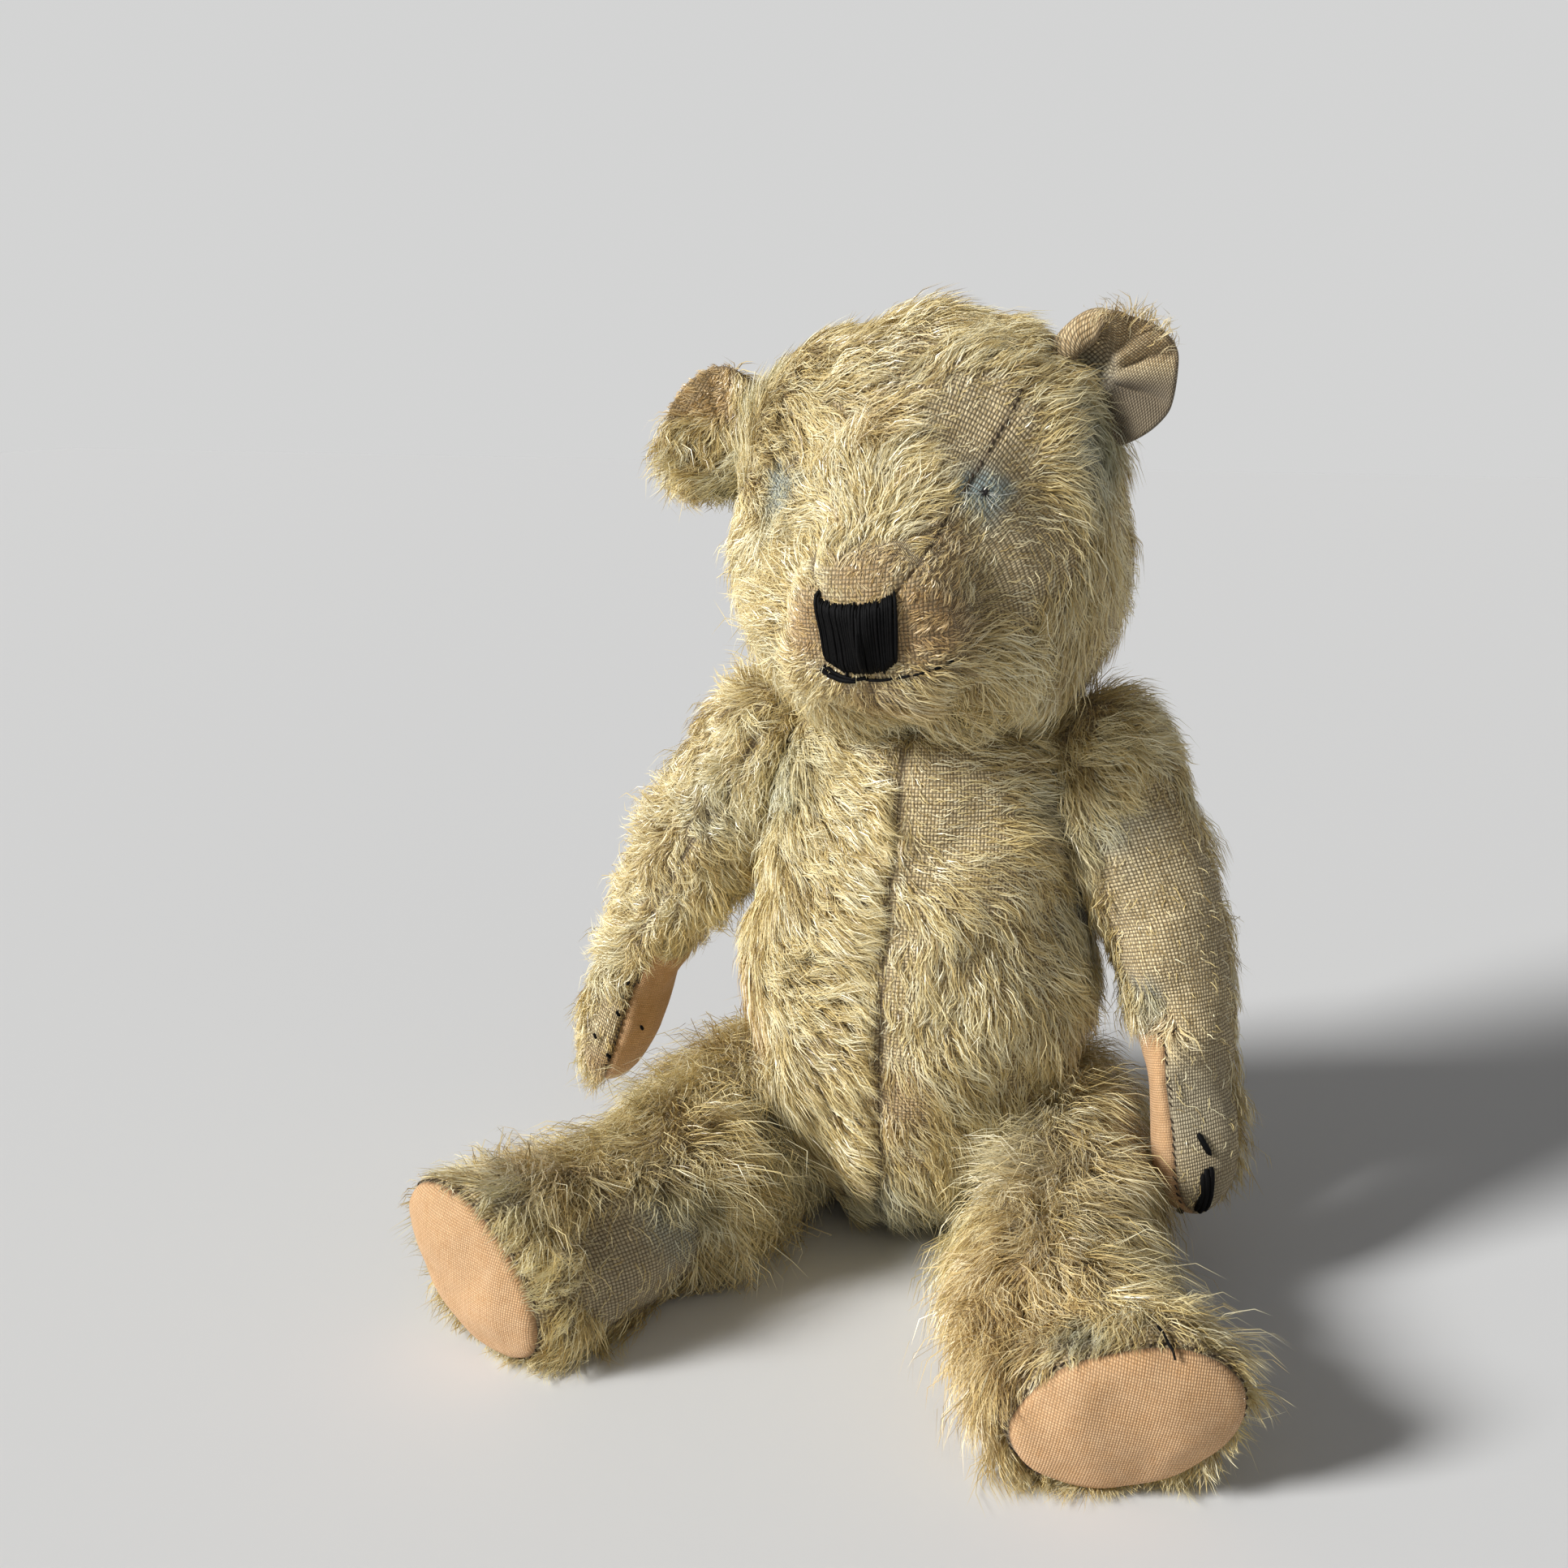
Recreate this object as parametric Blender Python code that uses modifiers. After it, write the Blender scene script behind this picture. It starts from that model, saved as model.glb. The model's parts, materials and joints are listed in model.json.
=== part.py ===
"""A seated teddy bear: pile-cloth covers stuffed hard, joined by discs and split pins.

Run it with blender --background --python part.py, or from Blender's text editor.
Lengths are millimetres until a mesh is made, and the scene is in metres with +Z up.
The bear sits on z = 0 with its seat at the origin. It faces -Y, and its own left side is +X.
"""

import math

import bmesh
import bpy
import numpy as np
from mathutils import Matrix, Vector

MM = 0.001

# Driving dimensions, in millimetres and degrees
CLOTH = 1.0
FIT = 0.3
SEAM_HALF_GAP = 0.35
STUFFING_INSET = 2.0
PIN_WIRE = 1.5
PIN_HOLE_RADIUS = 2.4
DISC_THICKNESS = 2.0
WASHER_THICKNESS = 0.8
WASHER_RADIUS = 7.5
POCKET_RADIUS = 9.5
POCKET_DEPTH = 12.8

TORSO_HEIGHT = 174.5
NECK_HEIGHT = TORSO_HEIGHT + FIT
SHOULDER = (46.4, 1.5, 152.0)
SHOULDER_TILT = 13.0
HIP = (31.0, 2.0, 31.0)
HIP_TILT = 33.0
HIP_TOE_OUT = 1.0
NECK_DISC_RADIUS = 12.0
SHOULDER_DISC_RADIUS = 12.0
HIP_DISC_RADIUS = 15.0
SEAM_DRIFT = -6.0
SEAM_DRIFT_HEIGHT = 45.0
SEAT_HALF_WIDTH = 14.0
SEAT_HALF_DEPTH = 19.0

HEAD_CENTRE = (0.0, 3.0, 233.0)
HEAD_TURN = 2.0
HEAD_NOD = 8.0
HEAD_TIP = -5.0
GUSSET_HALF_ANGLE = 38.0
HEAD_BACK = -58.0
MUZZLE_TIP = 86.0
CHEEK_SQUARENESS = 0.85
SKULL_REACH = 46.0
MUZZLE_REACH = 13.0
EAR_HALF_WIDTH = {"left": 16.5, "right": 22.0}
EAR_HALF_HEIGHT = 20.5
EAR_FACING_IN = {"left": 35.0, "right": 20.0}
EAR_RISE = {"left": 9.5, "right": 14.0}
EAR_ANGLE = {"left": 56.0, "right": 61.0}
EAR_SET_BACK = -4.0
EAR_FRONT_BULGE = 2.0
EAR_BACK_BULGE = 6.0
EAR_CUP = 5.0
NOSE_WIDTH = 23.0
NOSE_HEIGHT = 23.0
MOUTH_HALF_WIDTH = 17.0
MOUTH_SHIFT = 3.0

ARM_TOP = -27.0
ARM_TIP = 139.0
ARM_STAND_OFF = {"left": 13.5, "right": 12.5}
ARM_LEAN = {"left": 4.5, "right": 13.5}
ARM_SWING = {"left": 12.0, "right": 0.0}
PAD_START = 80.0
ARM_TOP_REACH = 22.0
ARM_TIP_REACH = 15.0

LEG_TOP = -27.0
LEG_TOP_REACH = 26.0
LEG_SOLE = 150.0
LEG_STAND_OFF = 16.0
LEG_SPLAY = {"left": 14.0, "right": 20.0}
FOOT_ROLL = {"left": 72.0, "right": 58.0}
SOLE_TURN = {"left": 0.0, "right": 2.0}
SOLE_TURN_START = 100.0
SOLE_CROWN = 6.0
LEG_HEIGHT = 28.0
LEG_DROP = 7.0

SIDE = {"left": 1.0, "right": -1.0}

# Half-sizes of the rings down each stuffed shape. Torso: height, half-width, half-depth, forward shift
TORSO_RINGS = (
    (0.0, 25.0, 27.0, 2.0),
    (6.0, 37.0, 37.0, 2.0),
    (20.0, 48.0, 45.0, 3.0),
    (45.0, 56.0, 51.0, 5.0),
    (80.0, 58.0, 53.0, 6.0),
    (115.0, 55.5, 49.0, 4.0),
    (145.0, 54.0, 43.0, 0.0),
    (161.0, 51.0, 40.0, -2.0),
    (170.0, 44.0, 35.0, -2.0),
    (174.5, 35.0, 30.0, -2.0),
)
# Head: distance towards the nose, half-width, half-height, upward shift
HEAD_RINGS = (
    (-58.0, 56.0, 55.0, 0.0),
    (-25.0, 62.0, 62.0, 0.0),
    (5.0, 64.0, 65.0, 0.0),
    (25.0, 60.0, 58.0, -2.0),
    (44.0, 45.0, 44.0, -8.0),
    (60.0, 32.0, 31.0, -11.0),
    (74.0, 26.0, 24.0, -12.0),
    (86.0, 24.0, 21.0, -12.0),
)
# Arm: distance below the shoulder joint, half-thickness, half-depth, outward bow, forward bend
ARM_RINGS = (
    (-27.0, 20.0, 22.0, 0.0, 0.0),
    (5.0, 21.5, 23.5, 0.5, 0.0),
    (42.0, 20.0, 21.5, 5.0, 0.0),
    (75.0, 17.0, 18.0, 6.0, 1.0),
    (98.0, 14.5, 15.5, 4.5, 3.0),
    (120.0, 14.0, 15.5, 1.0, 6.0),
    (139.0, 12.5, 14.0, -2.0, 9.0),
)
# Leg: distance from the hip, half-size towards the toe, half-size across, shift towards the toe
LEG_RINGS = (
    (-27.0, 27.0, 28.0, 0.0),
    (0.0, 29.0, 28.5, 0.0),
    (42.0, 29.0, 28.0, -0.5),
    (82.0, 28.0, 26.0, -3.5),
    (110.0, 27.5, 25.0, -4.0),
    (130.0, 31.0, 22.0, 2.0),
    (150.0, 33.0, 21.0, 9.0),
)


def unit(vector):
    vector = np.asarray(vector, float)
    return vector / np.linalg.norm(vector)


def direction(angle_deg):
    """Cosine and sine of an angle in degrees."""
    return math.cos(math.radians(angle_deg)), math.sin(math.radians(angle_deg))


def turned(vector, axis, angle_deg):
    return np.array(Matrix.Rotation(math.radians(angle_deg), 3, Vector(axis)) @ Vector(vector))


def ease(t):
    """A smooth step from 0 to 1."""
    t = min(max(t, 0.0), 1.0)
    return t * t * (3 - 2 * t)


def smooth(rings):
    """A smooth curve through rows of (station, values), read at any station."""
    table = np.asarray(rings, float)
    stations, values = table[:, 0], table[:, 1:]
    slopes = np.gradient(values, stations, axis=0)

    def at(station):
        i = min(max(int(np.searchsorted(stations, station, side="right")) - 1, 0), len(stations) - 2)
        span = stations[i + 1] - stations[i]
        t = min(max((station - stations[i]) / span, 0.0), 1.0)
        rise = ease(t)
        start = span * t * (1 - t) ** 2
        end = span * t * t * (t - 1)
        return values[i] * (1 - rise) + values[i + 1] * rise + slopes[i] * start + slopes[i + 1] * end

    return at


def dome(distance, reach):
    """How far a round end has opened out at a distance from its pole."""
    t = min(max(distance / reach, 0.0), 1.0)
    return math.sqrt(1 - (1 - t) ** 2)


def dome_stations(pole, reach, count):
    """Stations that step evenly round a quarter circle away from its pole."""
    return [pole + reach * (1 - math.cos(math.pi / 2 * (i + 1) / count)) for i in range(count)]


def pressed(points, centre, axis, gap):
    """Points on the outer side of a joint plane, flattened on to a plane just clear of it."""
    depth = (points - centre) @ axis - gap
    return points - np.minimum(depth, 0.0)[..., None] * axis


class Joint:
    """A disc joint: its centre, and the axis that points out of the torso."""

    def __init__(self, name, centre, axis, disc_radius):
        self.name = name
        self.centre = np.asarray(centre, float)
        self.axis = unit(axis)
        self.disc_radius = disc_radius


def make_joints():
    joints = {"neck": Joint("neck", (0.0, HEAD_CENTRE[1], NECK_HEIGHT), (0, 0, 1), NECK_DISC_RADIUS)}
    shoulder_out, shoulder_up = direction(SHOULDER_TILT)
    hip_out, hip_down = direction(HIP_TILT)
    hip_side, hip_back = direction(HIP_TOE_OUT)
    for side, sign in SIDE.items():
        mirror = np.array((sign, 1.0, 1.0))
        joints[f"shoulder_{side}"] = Joint(
            f"shoulder_{side}",
            mirror * SHOULDER,
            mirror * (shoulder_out, 0.0, shoulder_up),
            SHOULDER_DISC_RADIUS,
        )
        joints[f"hip_{side}"] = Joint(
            f"hip_{side}",
            mirror * HIP,
            mirror * (hip_out * hip_side, hip_out * hip_back, -hip_down),
            HIP_DISC_RADIUS,
        )
    return joints


JOINTS = make_joints()


# Scene upkeep and small mesh helpers


def clear_scene():
    for thing in list(bpy.data.objects):
        bpy.data.objects.remove(thing, do_unlink=True)


def make_collection(name):
    collection = bpy.data.collections.new(name)
    bpy.context.scene.collection.children.link(collection)
    return collection


def finish(thing, colour, roughness, metallic=0.0):
    """Gives an object its own Principled material."""
    material = bpy.data.materials.new(f"{thing.name}_finish")
    material.use_nodes = True
    shader = material.node_tree.nodes["Principled BSDF"]
    shader.inputs["Base Color"].default_value = (*colour, 1.0)
    shader.inputs["Roughness"].default_value = roughness
    shader.inputs["Metallic"].default_value = metallic
    thing.data.materials.append(material)


MOHAIR = ((0.52, 0.43, 0.24), 0.9)
PAD_CLOTH = ((0.75, 0.42, 0.22), 0.9)
EAR_CLOTH = ((0.42, 0.34, 0.22), 0.9)
WOOD_WOOL = ((0.62, 0.50, 0.30), 0.95)
BLACK_THREAD = ((0.01, 0.01, 0.012), 0.6)
HARDBOARD = ((0.25, 0.14, 0.07), 0.8)
STEEL = ((0.45, 0.44, 0.42), 0.4, 1.0)


class Body:
    """Pieces that move together, parented to an empty on their joint's centre."""

    def __init__(self, name, centre):
        self.centre = np.asarray(centre, float)
        self.empty = bpy.data.objects.new(name, None)
        self.empty.location = Vector(self.centre * MM)
        self.empty.empty_display_size = 0.02
        PARTS.objects.link(self.empty)

    def add(self, thing, look):
        PARTS.objects.link(thing)
        thing.parent = self.empty
        finish(thing, *look)
        return thing

    def mesh_object(self, name, mesh, look):
        return self.add(bpy.data.objects.new(name, mesh), look)


def lofted_mesh(name, grid, body, start=None, end=None, closed=False, outward_from=None):
    """A mesh over a grid of points, ring by ring, with a fan to each pole that is given."""
    rings, columns = grid.shape[:2]
    work = bmesh.new()
    rows = [[work.verts.new(Vector((point - body.centre) * MM)) for point in ring] for ring in grid]
    spans = columns if closed else columns - 1
    for i in range(rings - 1):
        for j in range(spans):
            k = (j + 1) % columns
            work.faces.new((rows[i][j], rows[i][k], rows[i + 1][k], rows[i + 1][j]))
    for pole, row, step in ((start, rows[0], -1), (end, rows[-1], 1)):
        if pole is None:
            continue
        tip = work.verts.new(Vector((np.asarray(pole) - body.centre) * MM))
        for j in range(spans):
            pair = (row[j], row[(j + 1) % columns])[::step]
            work.faces.new((tip, *pair))
    work.normal_update()
    middle = grid.reshape(-1, 3).mean(0) if outward_from is None else np.asarray(outward_from)
    middle = Vector((middle - body.centre) * MM)
    facing = sum(face.normal.dot(face.calc_center_median() - middle) for face in work.faces)
    if facing < 0:
        bmesh.ops.reverse_faces(work, faces=work.faces)
    mesh = bpy.data.meshes.new(name)
    work.to_mesh(mesh)
    work.free()
    mesh.shade_smooth()
    return mesh


def cloth_panel(name, grid, body, look, **poles):
    """An open panel of the cover, with the cloth's thickness on its inner side."""
    panel = body.mesh_object(name, lofted_mesh(name, grid, body, **poles), look)
    thickness = panel.modifiers.new("cloth", "SOLIDIFY")
    thickness.thickness = CLOTH * MM
    thickness.offset = -1.0
    return panel


def inset_mesh(mesh, distance):
    """Moves a closed mesh inwards along its own normals."""
    work = bmesh.new()
    work.from_mesh(mesh)
    work.normal_update()
    for vertex in work.verts:
        vertex.co -= vertex.normal * distance * MM
    work.to_mesh(mesh)
    work.free()


def press_mesh(mesh, body, centre, axis, gap):
    """Flattens a mesh's outer side against a plane, axis pointing to the side that is kept."""
    for vertex in mesh.vertices:
        point = np.array(vertex.co) / MM + body.centre
        vertex.co = Vector((pressed(point[None], centre, axis, gap)[0] - body.centre) * MM)


def cylinder_between(name, radius, start, end, segments=16):
    """A closed cylinder whose ends are two points."""
    start, end = Vector(start * MM), Vector(end * MM)
    work = bmesh.new()
    bmesh.ops.create_cone(
        work,
        cap_ends=True,
        segments=segments,
        radius1=radius * MM,
        radius2=radius * MM,
        depth=(end - start).length,
    )
    mesh = bpy.data.meshes.new(name)
    work.to_mesh(mesh)
    work.free()
    thing = bpy.data.objects.new(name, mesh)
    thing.location = (start + end) / 2
    thing.rotation_euler = (end - start).to_track_quat("Z", "Y").to_euler()
    return thing


def as_cutter(thing):
    CUTTERS.objects.link(thing)
    thing.hide_render = True
    thing.display_type = "WIRE"
    return thing


def cut(thing, cutter):
    boolean = thing.modifiers.new(f"less_{cutter.name}", "BOOLEAN")
    boolean.operation = "DIFFERENCE"
    boolean.solver = "EXACT"
    boolean.object = cutter


# Joint hardware: discs and washers turned about the joint's axis, and a split pin


def turned_ring(name, body, joint, distance, inner, outer, thickness, steps, look):
    """A flat ring centred on the joint's axis, at a distance along it."""
    half = thickness / 2
    outline = ((outer, half), (outer, -half), (inner, -half), (inner, half))
    mesh = bpy.data.meshes.new(name)
    corners = [(r * MM, 0.0, z * MM) for r, z in outline]
    mesh.from_pydata(corners, [(i, (i + 1) % 4) for i in range(4)], [])
    ring = body.mesh_object(name, mesh, look)
    ring.location = Vector((joint.centre + joint.axis * distance - body.centre) * MM)
    ring.rotation_euler = Vector(joint.axis).to_track_quat("Z", "Y").to_euler()
    screw = ring.modifiers.new("turned", "SCREW")
    screw.axis = "Z"
    screw.steps = steps
    screw.render_steps = steps
    screw.use_merge_vertices = True
    screw.merge_threshold = 0.00001


def pin_path():
    """The doubled wire from one curled leg, through the joint and round the eye, to the other.

    Each point is (across the joint's axis, along it), with the eye on the outer side.
    """
    leg = ((7.2, -6.4), (6.5, -8.7), (4.0, -9.9), (1.7, -8.4), (0.95, -4.6), (0.95, 5.2))
    eye_centre, eye_radius = 8.1, 2.6
    angles = np.linspace(-52, 232, 8)
    eye = [(eye_radius * direction(a)[0], eye_centre + eye_radius * direction(a)[1]) for a in angles]
    return list(leg) + eye + [(-across, along) for across, along in reversed(leg)]


def split_pin(name, body, joint, look):
    across = unit(np.cross(joint.axis, (0.0, 1.0, 0.3)))
    curve = bpy.data.curves.new(name, "CURVE")
    curve.dimensions = "3D"
    curve.bevel_depth = PIN_WIRE / 2 * MM
    curve.bevel_resolution = 1
    curve.use_fill_caps = True
    spline = curve.splines.new("POLY")
    path = pin_path()
    spline.points.add(len(path) - 1)
    for point, (side, along) in zip(spline.points, path):
        place = joint.centre + across * side + joint.axis * along - body.centre
        point.co = (*(place * MM), 1.0)
    body.add(bpy.data.objects.new(name, curve), look)


def joint_stack(joint, torso, limb, place):
    """Disc and washer on each side of a joint's cloth, and the pin that holds them."""
    disc_at = 2 * FIT + CLOTH + DISC_THICKNESS / 2
    washer_at = disc_at + DISC_THICKNESS / 2 + FIT + WASHER_THICKNESS / 2
    hole = PIN_HOLE_RADIUS - 0.1
    for body, sign, owner in ((torso, -1, "torso"), (limb, 1, place)):
        turned_ring(f"{joint.name}_{owner}_disc", body, joint, sign * disc_at, hole,
                    joint.disc_radius, DISC_THICKNESS, 16, HARDBOARD)
        turned_ring(f"{joint.name}_{owner}_washer", body, joint, sign * washer_at, hole,
                    WASHER_RADIUS, WASHER_THICKNESS, 12, STEEL)
    split_pin(f"{joint.name}_pin", limb, joint, STEEL)
    reach = joint.axis * POCKET_DEPTH
    bore = joint.axis * (CLOTH + 1.5)
    return {
        "hole": as_cutter(cylinder_between(f"cut_{joint.name}_hole", PIN_HOLE_RADIUS,
                                           joint.centre - bore, joint.centre + bore, 12)),
        "torso": as_cutter(cylinder_between(f"cut_{joint.name}_torso_pocket", POCKET_RADIUS,
                                            joint.centre, joint.centre - reach)),
        "limb": as_cutter(cylinder_between(f"cut_{joint.name}_{place}_pocket", POCKET_RADIUS,
                                           joint.centre, joint.centre + reach)),
    }


STUFFING_GAP = 2 * FIT + CLOTH + DISC_THICKNESS + FIT


# Torso: two halves with seams down the front and the back


def seam_drift(height):
    """How far the front and back seams wander to one side as they run down to the seat."""
    t = min(height / SEAM_DRIFT_HEIGHT, 1.0)
    return SEAM_DRIFT * (1 - ease(t))


def torso_grid(columns):
    """Rings of points round the torso, from the flat seat to the neck."""
    at = smooth(TORSO_RINGS)
    heights = [0.0, 3.0, 9.0, 20.0, 36.0, 54.0, 74.0, 95.0, 115.0, 134.0, 150.0, 161.0, 169.5, TORSO_HEIGHT]
    sizes = [(SEAT_HALF_WIDTH, SEAT_HALF_DEPTH, at(0.0)[2])] + [at(height) for height in heights]
    grid = []
    for height, (half_width, half_depth, forward) in zip([0.0] + heights, sizes):
        middle = np.array((seam_drift(height), -forward, height))
        ring = [middle + (half_width * direction(a)[0], half_depth * direction(a)[1], 0.0) for a in columns]
        grid.append(ring)
    return np.array(grid)


def press_torso(points, gap):
    for joint in JOINTS.values():
        if joint.name != "neck":
            points = pressed(points, joint.centre, -joint.axis, gap)
    return points


def make_torso(body, cutters):
    seat = np.array((SEAM_DRIFT, -TORSO_RINGS[0][3], 0.0))
    neck = np.array((0.0, JOINTS["neck"].centre[1], TORSO_HEIGHT))
    for side, sign in SIDE.items():
        columns = np.linspace(-90, 90, 10) if sign > 0 else np.linspace(90, 270, 10)
        shift = np.array((sign * SEAM_HALF_GAP, 0.0, 0.0))
        grid = press_torso(torso_grid(columns), FIT) + shift
        panel = cloth_panel(f"torso_panel_{side}", grid, body, MOHAIR, start=seat + shift, end=neck + shift,
                            outward_from=(0.0, 0.0, 80.0))
        for name in ("neck", f"shoulder_{side}", f"hip_{side}"):
            cut(panel, cutters[name]["hole"])
    grid = torso_grid(np.linspace(-90, 250, 18))
    mesh = lofted_mesh("torso_stuffing", grid, body, start=seat, end=neck, closed=True)
    inset_mesh(mesh, STUFFING_INSET)
    stuffing = body.mesh_object("torso_stuffing", mesh, WOOD_WOOL)
    for joint in JOINTS.values():
        press_mesh(mesh, body, joint.centre, -joint.axis, STUFFING_GAP)
        cut(stuffing, cutters[joint.name]["torso"])


# Head: two side panels, a gusset between them, ears, nose and mouth


def head_axes():
    """The head's own directions: to its left, to its crown and to its nose."""
    nose = np.array((0.0, -1.0, 0.0))
    crown = np.array((0.0, 0.0, 1.0))
    left = np.array((1.0, 0.0, 0.0))
    axes = [left, crown, nose]
    for axis, angle in (((0, -1, 0), -HEAD_TIP), ((1, 0, 0), HEAD_NOD), ((0, 0, 1), -HEAD_TURN)):
        axes = [turned(vector, axis, angle) for vector in axes]
    return axes


HEAD_LEFT, HEAD_CROWN, HEAD_NOSE = head_axes()
HEAD_AT = smooth(HEAD_RINGS)


def head_ring(station):
    """Half-width, half-height and upward shift of the head at a station."""
    half_width, half_height, shift = HEAD_AT(station)
    opening = dome(station - HEAD_BACK, SKULL_REACH) * dome(MUZZLE_TIP - station, MUZZLE_REACH)
    return half_width * opening, half_height * opening, shift


def cheek_direction(angle):
    """Cosine and sine of an angle from the crown, squared off below the middle for full cheeks."""
    up, across = direction(angle)
    if up < 0:
        up, across = -abs(up) ** CHEEK_SQUARENESS, math.copysign(abs(across) ** CHEEK_SQUARENESS, across)
    return up, across


def head_place(left, up, station):
    return np.array(HEAD_CENTRE) + HEAD_LEFT * left + HEAD_CROWN * up + HEAD_NOSE * station


def head_grid(columns):
    """Rings of points round the head. Column angles run from the crown towards its left."""
    stations = dome_stations(HEAD_BACK, SKULL_REACH, 4) + [6.0, 22.0, 37.0, 50.0, 62.0]
    stations += [MUZZLE_TIP + HEAD_BACK - s for s in reversed(dome_stations(HEAD_BACK, MUZZLE_REACH, 3))]
    grid = []
    for station in stations:
        half_width, half_height, shift = head_ring(station)
        ring = []
        for angle in columns:
            up, across = cheek_direction(angle)
            ring.append(head_place(half_width * across, shift + half_height * up, station))
        grid.append(ring)
    return np.array(grid)


def head_front(left, up):
    """The station where the head's front surface passes over a point seen from the nose."""
    near, far = 10.0, MUZZLE_TIP
    for _ in range(40):
        middle = (near + far) / 2
        half_width, half_height, shift = head_ring(middle)
        outside = (left / half_width) ** 2 + ((up - shift) / half_height) ** 2 > 1
        near, far = (near, middle) if outside else (middle, far)
    return near


def press_head(points, gap):
    joint = JOINTS["neck"]
    return pressed(points, joint.centre, joint.axis, gap)


def make_head(body, cutters):
    back = head_place(0.0, HEAD_AT(HEAD_BACK)[2], HEAD_BACK)
    tip = head_place(0.0, HEAD_AT(MUZZLE_TIP)[2], MUZZLE_TIP)
    middle = head_place(0.0, 0.0, 0.0)
    g = GUSSET_HALF_ANGLE
    lift = HEAD_CROWN * SEAM_HALF_GAP
    cloth_panel("head_gusset", head_grid(np.linspace(-g, g, 5)) + lift, body, MOHAIR, start=back + lift,
                end=tip + lift, outward_from=middle)
    for side, sign in SIDE.items():
        columns = sign * np.linspace(g, 180, 8)
        shift = (HEAD_LEFT * sign - HEAD_CROWN * 0.5) * SEAM_HALF_GAP
        grid = press_head(head_grid(columns) + shift, FIT)
        panel = cloth_panel(f"head_side_{side}", grid, body, MOHAIR, start=back + shift, end=tip + shift,
                            outward_from=middle)
        cut(panel, cutters["neck"]["hole"])
    mesh = lofted_mesh("head_stuffing", head_grid(np.linspace(-160, 180, 18)), body, start=back, end=tip,
                       closed=True)
    inset_mesh(mesh, STUFFING_INSET)
    press_mesh(mesh, body, JOINTS["neck"].centre, JOINTS["neck"].axis, STUFFING_GAP)
    stuffing = body.mesh_object("head_stuffing", mesh, WOOD_WOOL)
    cut(stuffing, cutters["neck"]["limb"])
    make_ears(body)
    make_nose(body)
    make_mouth(body)


def make_ears(body):
    """Each ear is a cupped front and back, sewn round the rim and closed on to the head."""
    back, tip = head_place(0.0, 0.0, HEAD_BACK), head_place(0.0, 0.0, MUZZLE_TIP)
    mesh = lofted_mesh("cut_head_clearance", head_grid(np.linspace(-160, 180, 18)), body, start=back, end=tip,
                       closed=True)
    inset_mesh(mesh, -(FIT + 0.9))
    clearance = as_cutter(bpy.data.objects.new("cut_head_clearance", mesh))
    clearance.location = body.empty.location
    half_width, half_height, shift = head_ring(EAR_SET_BACK)
    for side, sign in SIDE.items():
        up, across = direction(EAR_ANGLE[side])
        out = unit(HEAD_LEFT * sign * across + HEAD_CROWN * up)
        facing_nose = turned(HEAD_NOSE, out, -sign * EAR_FACING_IN[side])
        along = unit(np.cross(out, facing_nose))
        base = head_place(sign * half_width * across, shift + half_height * up, EAR_SET_BACK)
        middle = base + out * EAR_RISE[side]
        for face, facing, bulge in (("front", 1.0, EAR_FRONT_BULGE), ("back", -1.0, EAR_BACK_BULGE)):
            grid = []
            for radius in (0.45, 0.8, 1.0):
                ring = []
                for angle in np.linspace(0, 337.5, 16):
                    x, y = direction(angle)
                    depth = facing * (CLOTH + SEAM_HALF_GAP + bulge * (1 - radius**2))
                    cup = EAR_CUP * (radius * x) ** 2
                    spot = along * EAR_HALF_WIDTH[side] * x + out * EAR_HALF_HEIGHT * y
                    ring.append(middle + spot * radius + facing_nose * (depth + cup))
                grid.append(ring)
            centre = middle + facing_nose * facing * (CLOTH + SEAM_HALF_GAP + bulge)
            name = f"ear_{side}_{face}"
            ear = cloth_panel(name, np.array(grid), body, EAR_CLOTH, start=centre, closed=True,
                              outward_from=middle - facing_nose * facing * 40)
            cut(ear, clearance)


def make_nose(body):
    """The nose's upright stitches, as one thick patch lying on the end of the muzzle."""
    centre_up = HEAD_AT(MUZZLE_TIP)[2] + 2.0
    grid = []
    for y in np.linspace(-1, 1, 5):
        ring = []
        for x in np.linspace(-1, 1, 5):
            across = x * NOSE_WIDTH / 2 * (1 - 0.12 * (1 - y) / 2)
            up = centre_up + y * NOSE_HEIGHT / 2
            ring.append(head_place(across, up, head_front(across, up) + 2.4))
        grid.append(ring)
    patch = cloth_panel("nose_stitching", np.array(grid), body, BLACK_THREAD,
                        outward_from=head_place(0.0, 0.0, 30.0))
    patch.modifiers["cloth"].thickness = 1.6 * MM


def make_mouth(body):
    """One long stitch for the mouth, curving up at both ends under the nose."""
    curve = bpy.data.curves.new("mouth_stitching", "CURVE")
    curve.dimensions = "3D"
    curve.bevel_depth = 0.6 * MM
    curve.bevel_resolution = 1
    curve.use_fill_caps = True
    spline = curve.splines.new("POLY")
    spots = np.linspace(-1, 1, 9)
    spline.points.add(len(spots) - 1)
    for point, x in zip(spline.points, spots):
        left = MOUTH_SHIFT + x * MOUTH_HALF_WIDTH
        up = HEAD_AT(MUZZLE_TIP)[2] - NOSE_HEIGHT / 2 - 1.0 + 3.5 * x * x
        place = head_place(left, up, head_front(left, up))
        outward = unit(place - head_place(0.0, HEAD_AT(MUZZLE_TIP)[2], MUZZLE_TIP - 25))
        point.co = (*((place + outward * 1.3 - body.centre) * MM), 1.0)
    body.add(bpy.data.objects.new("mouth_stitching", curve), BLACK_THREAD)


# Arms and legs


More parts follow.
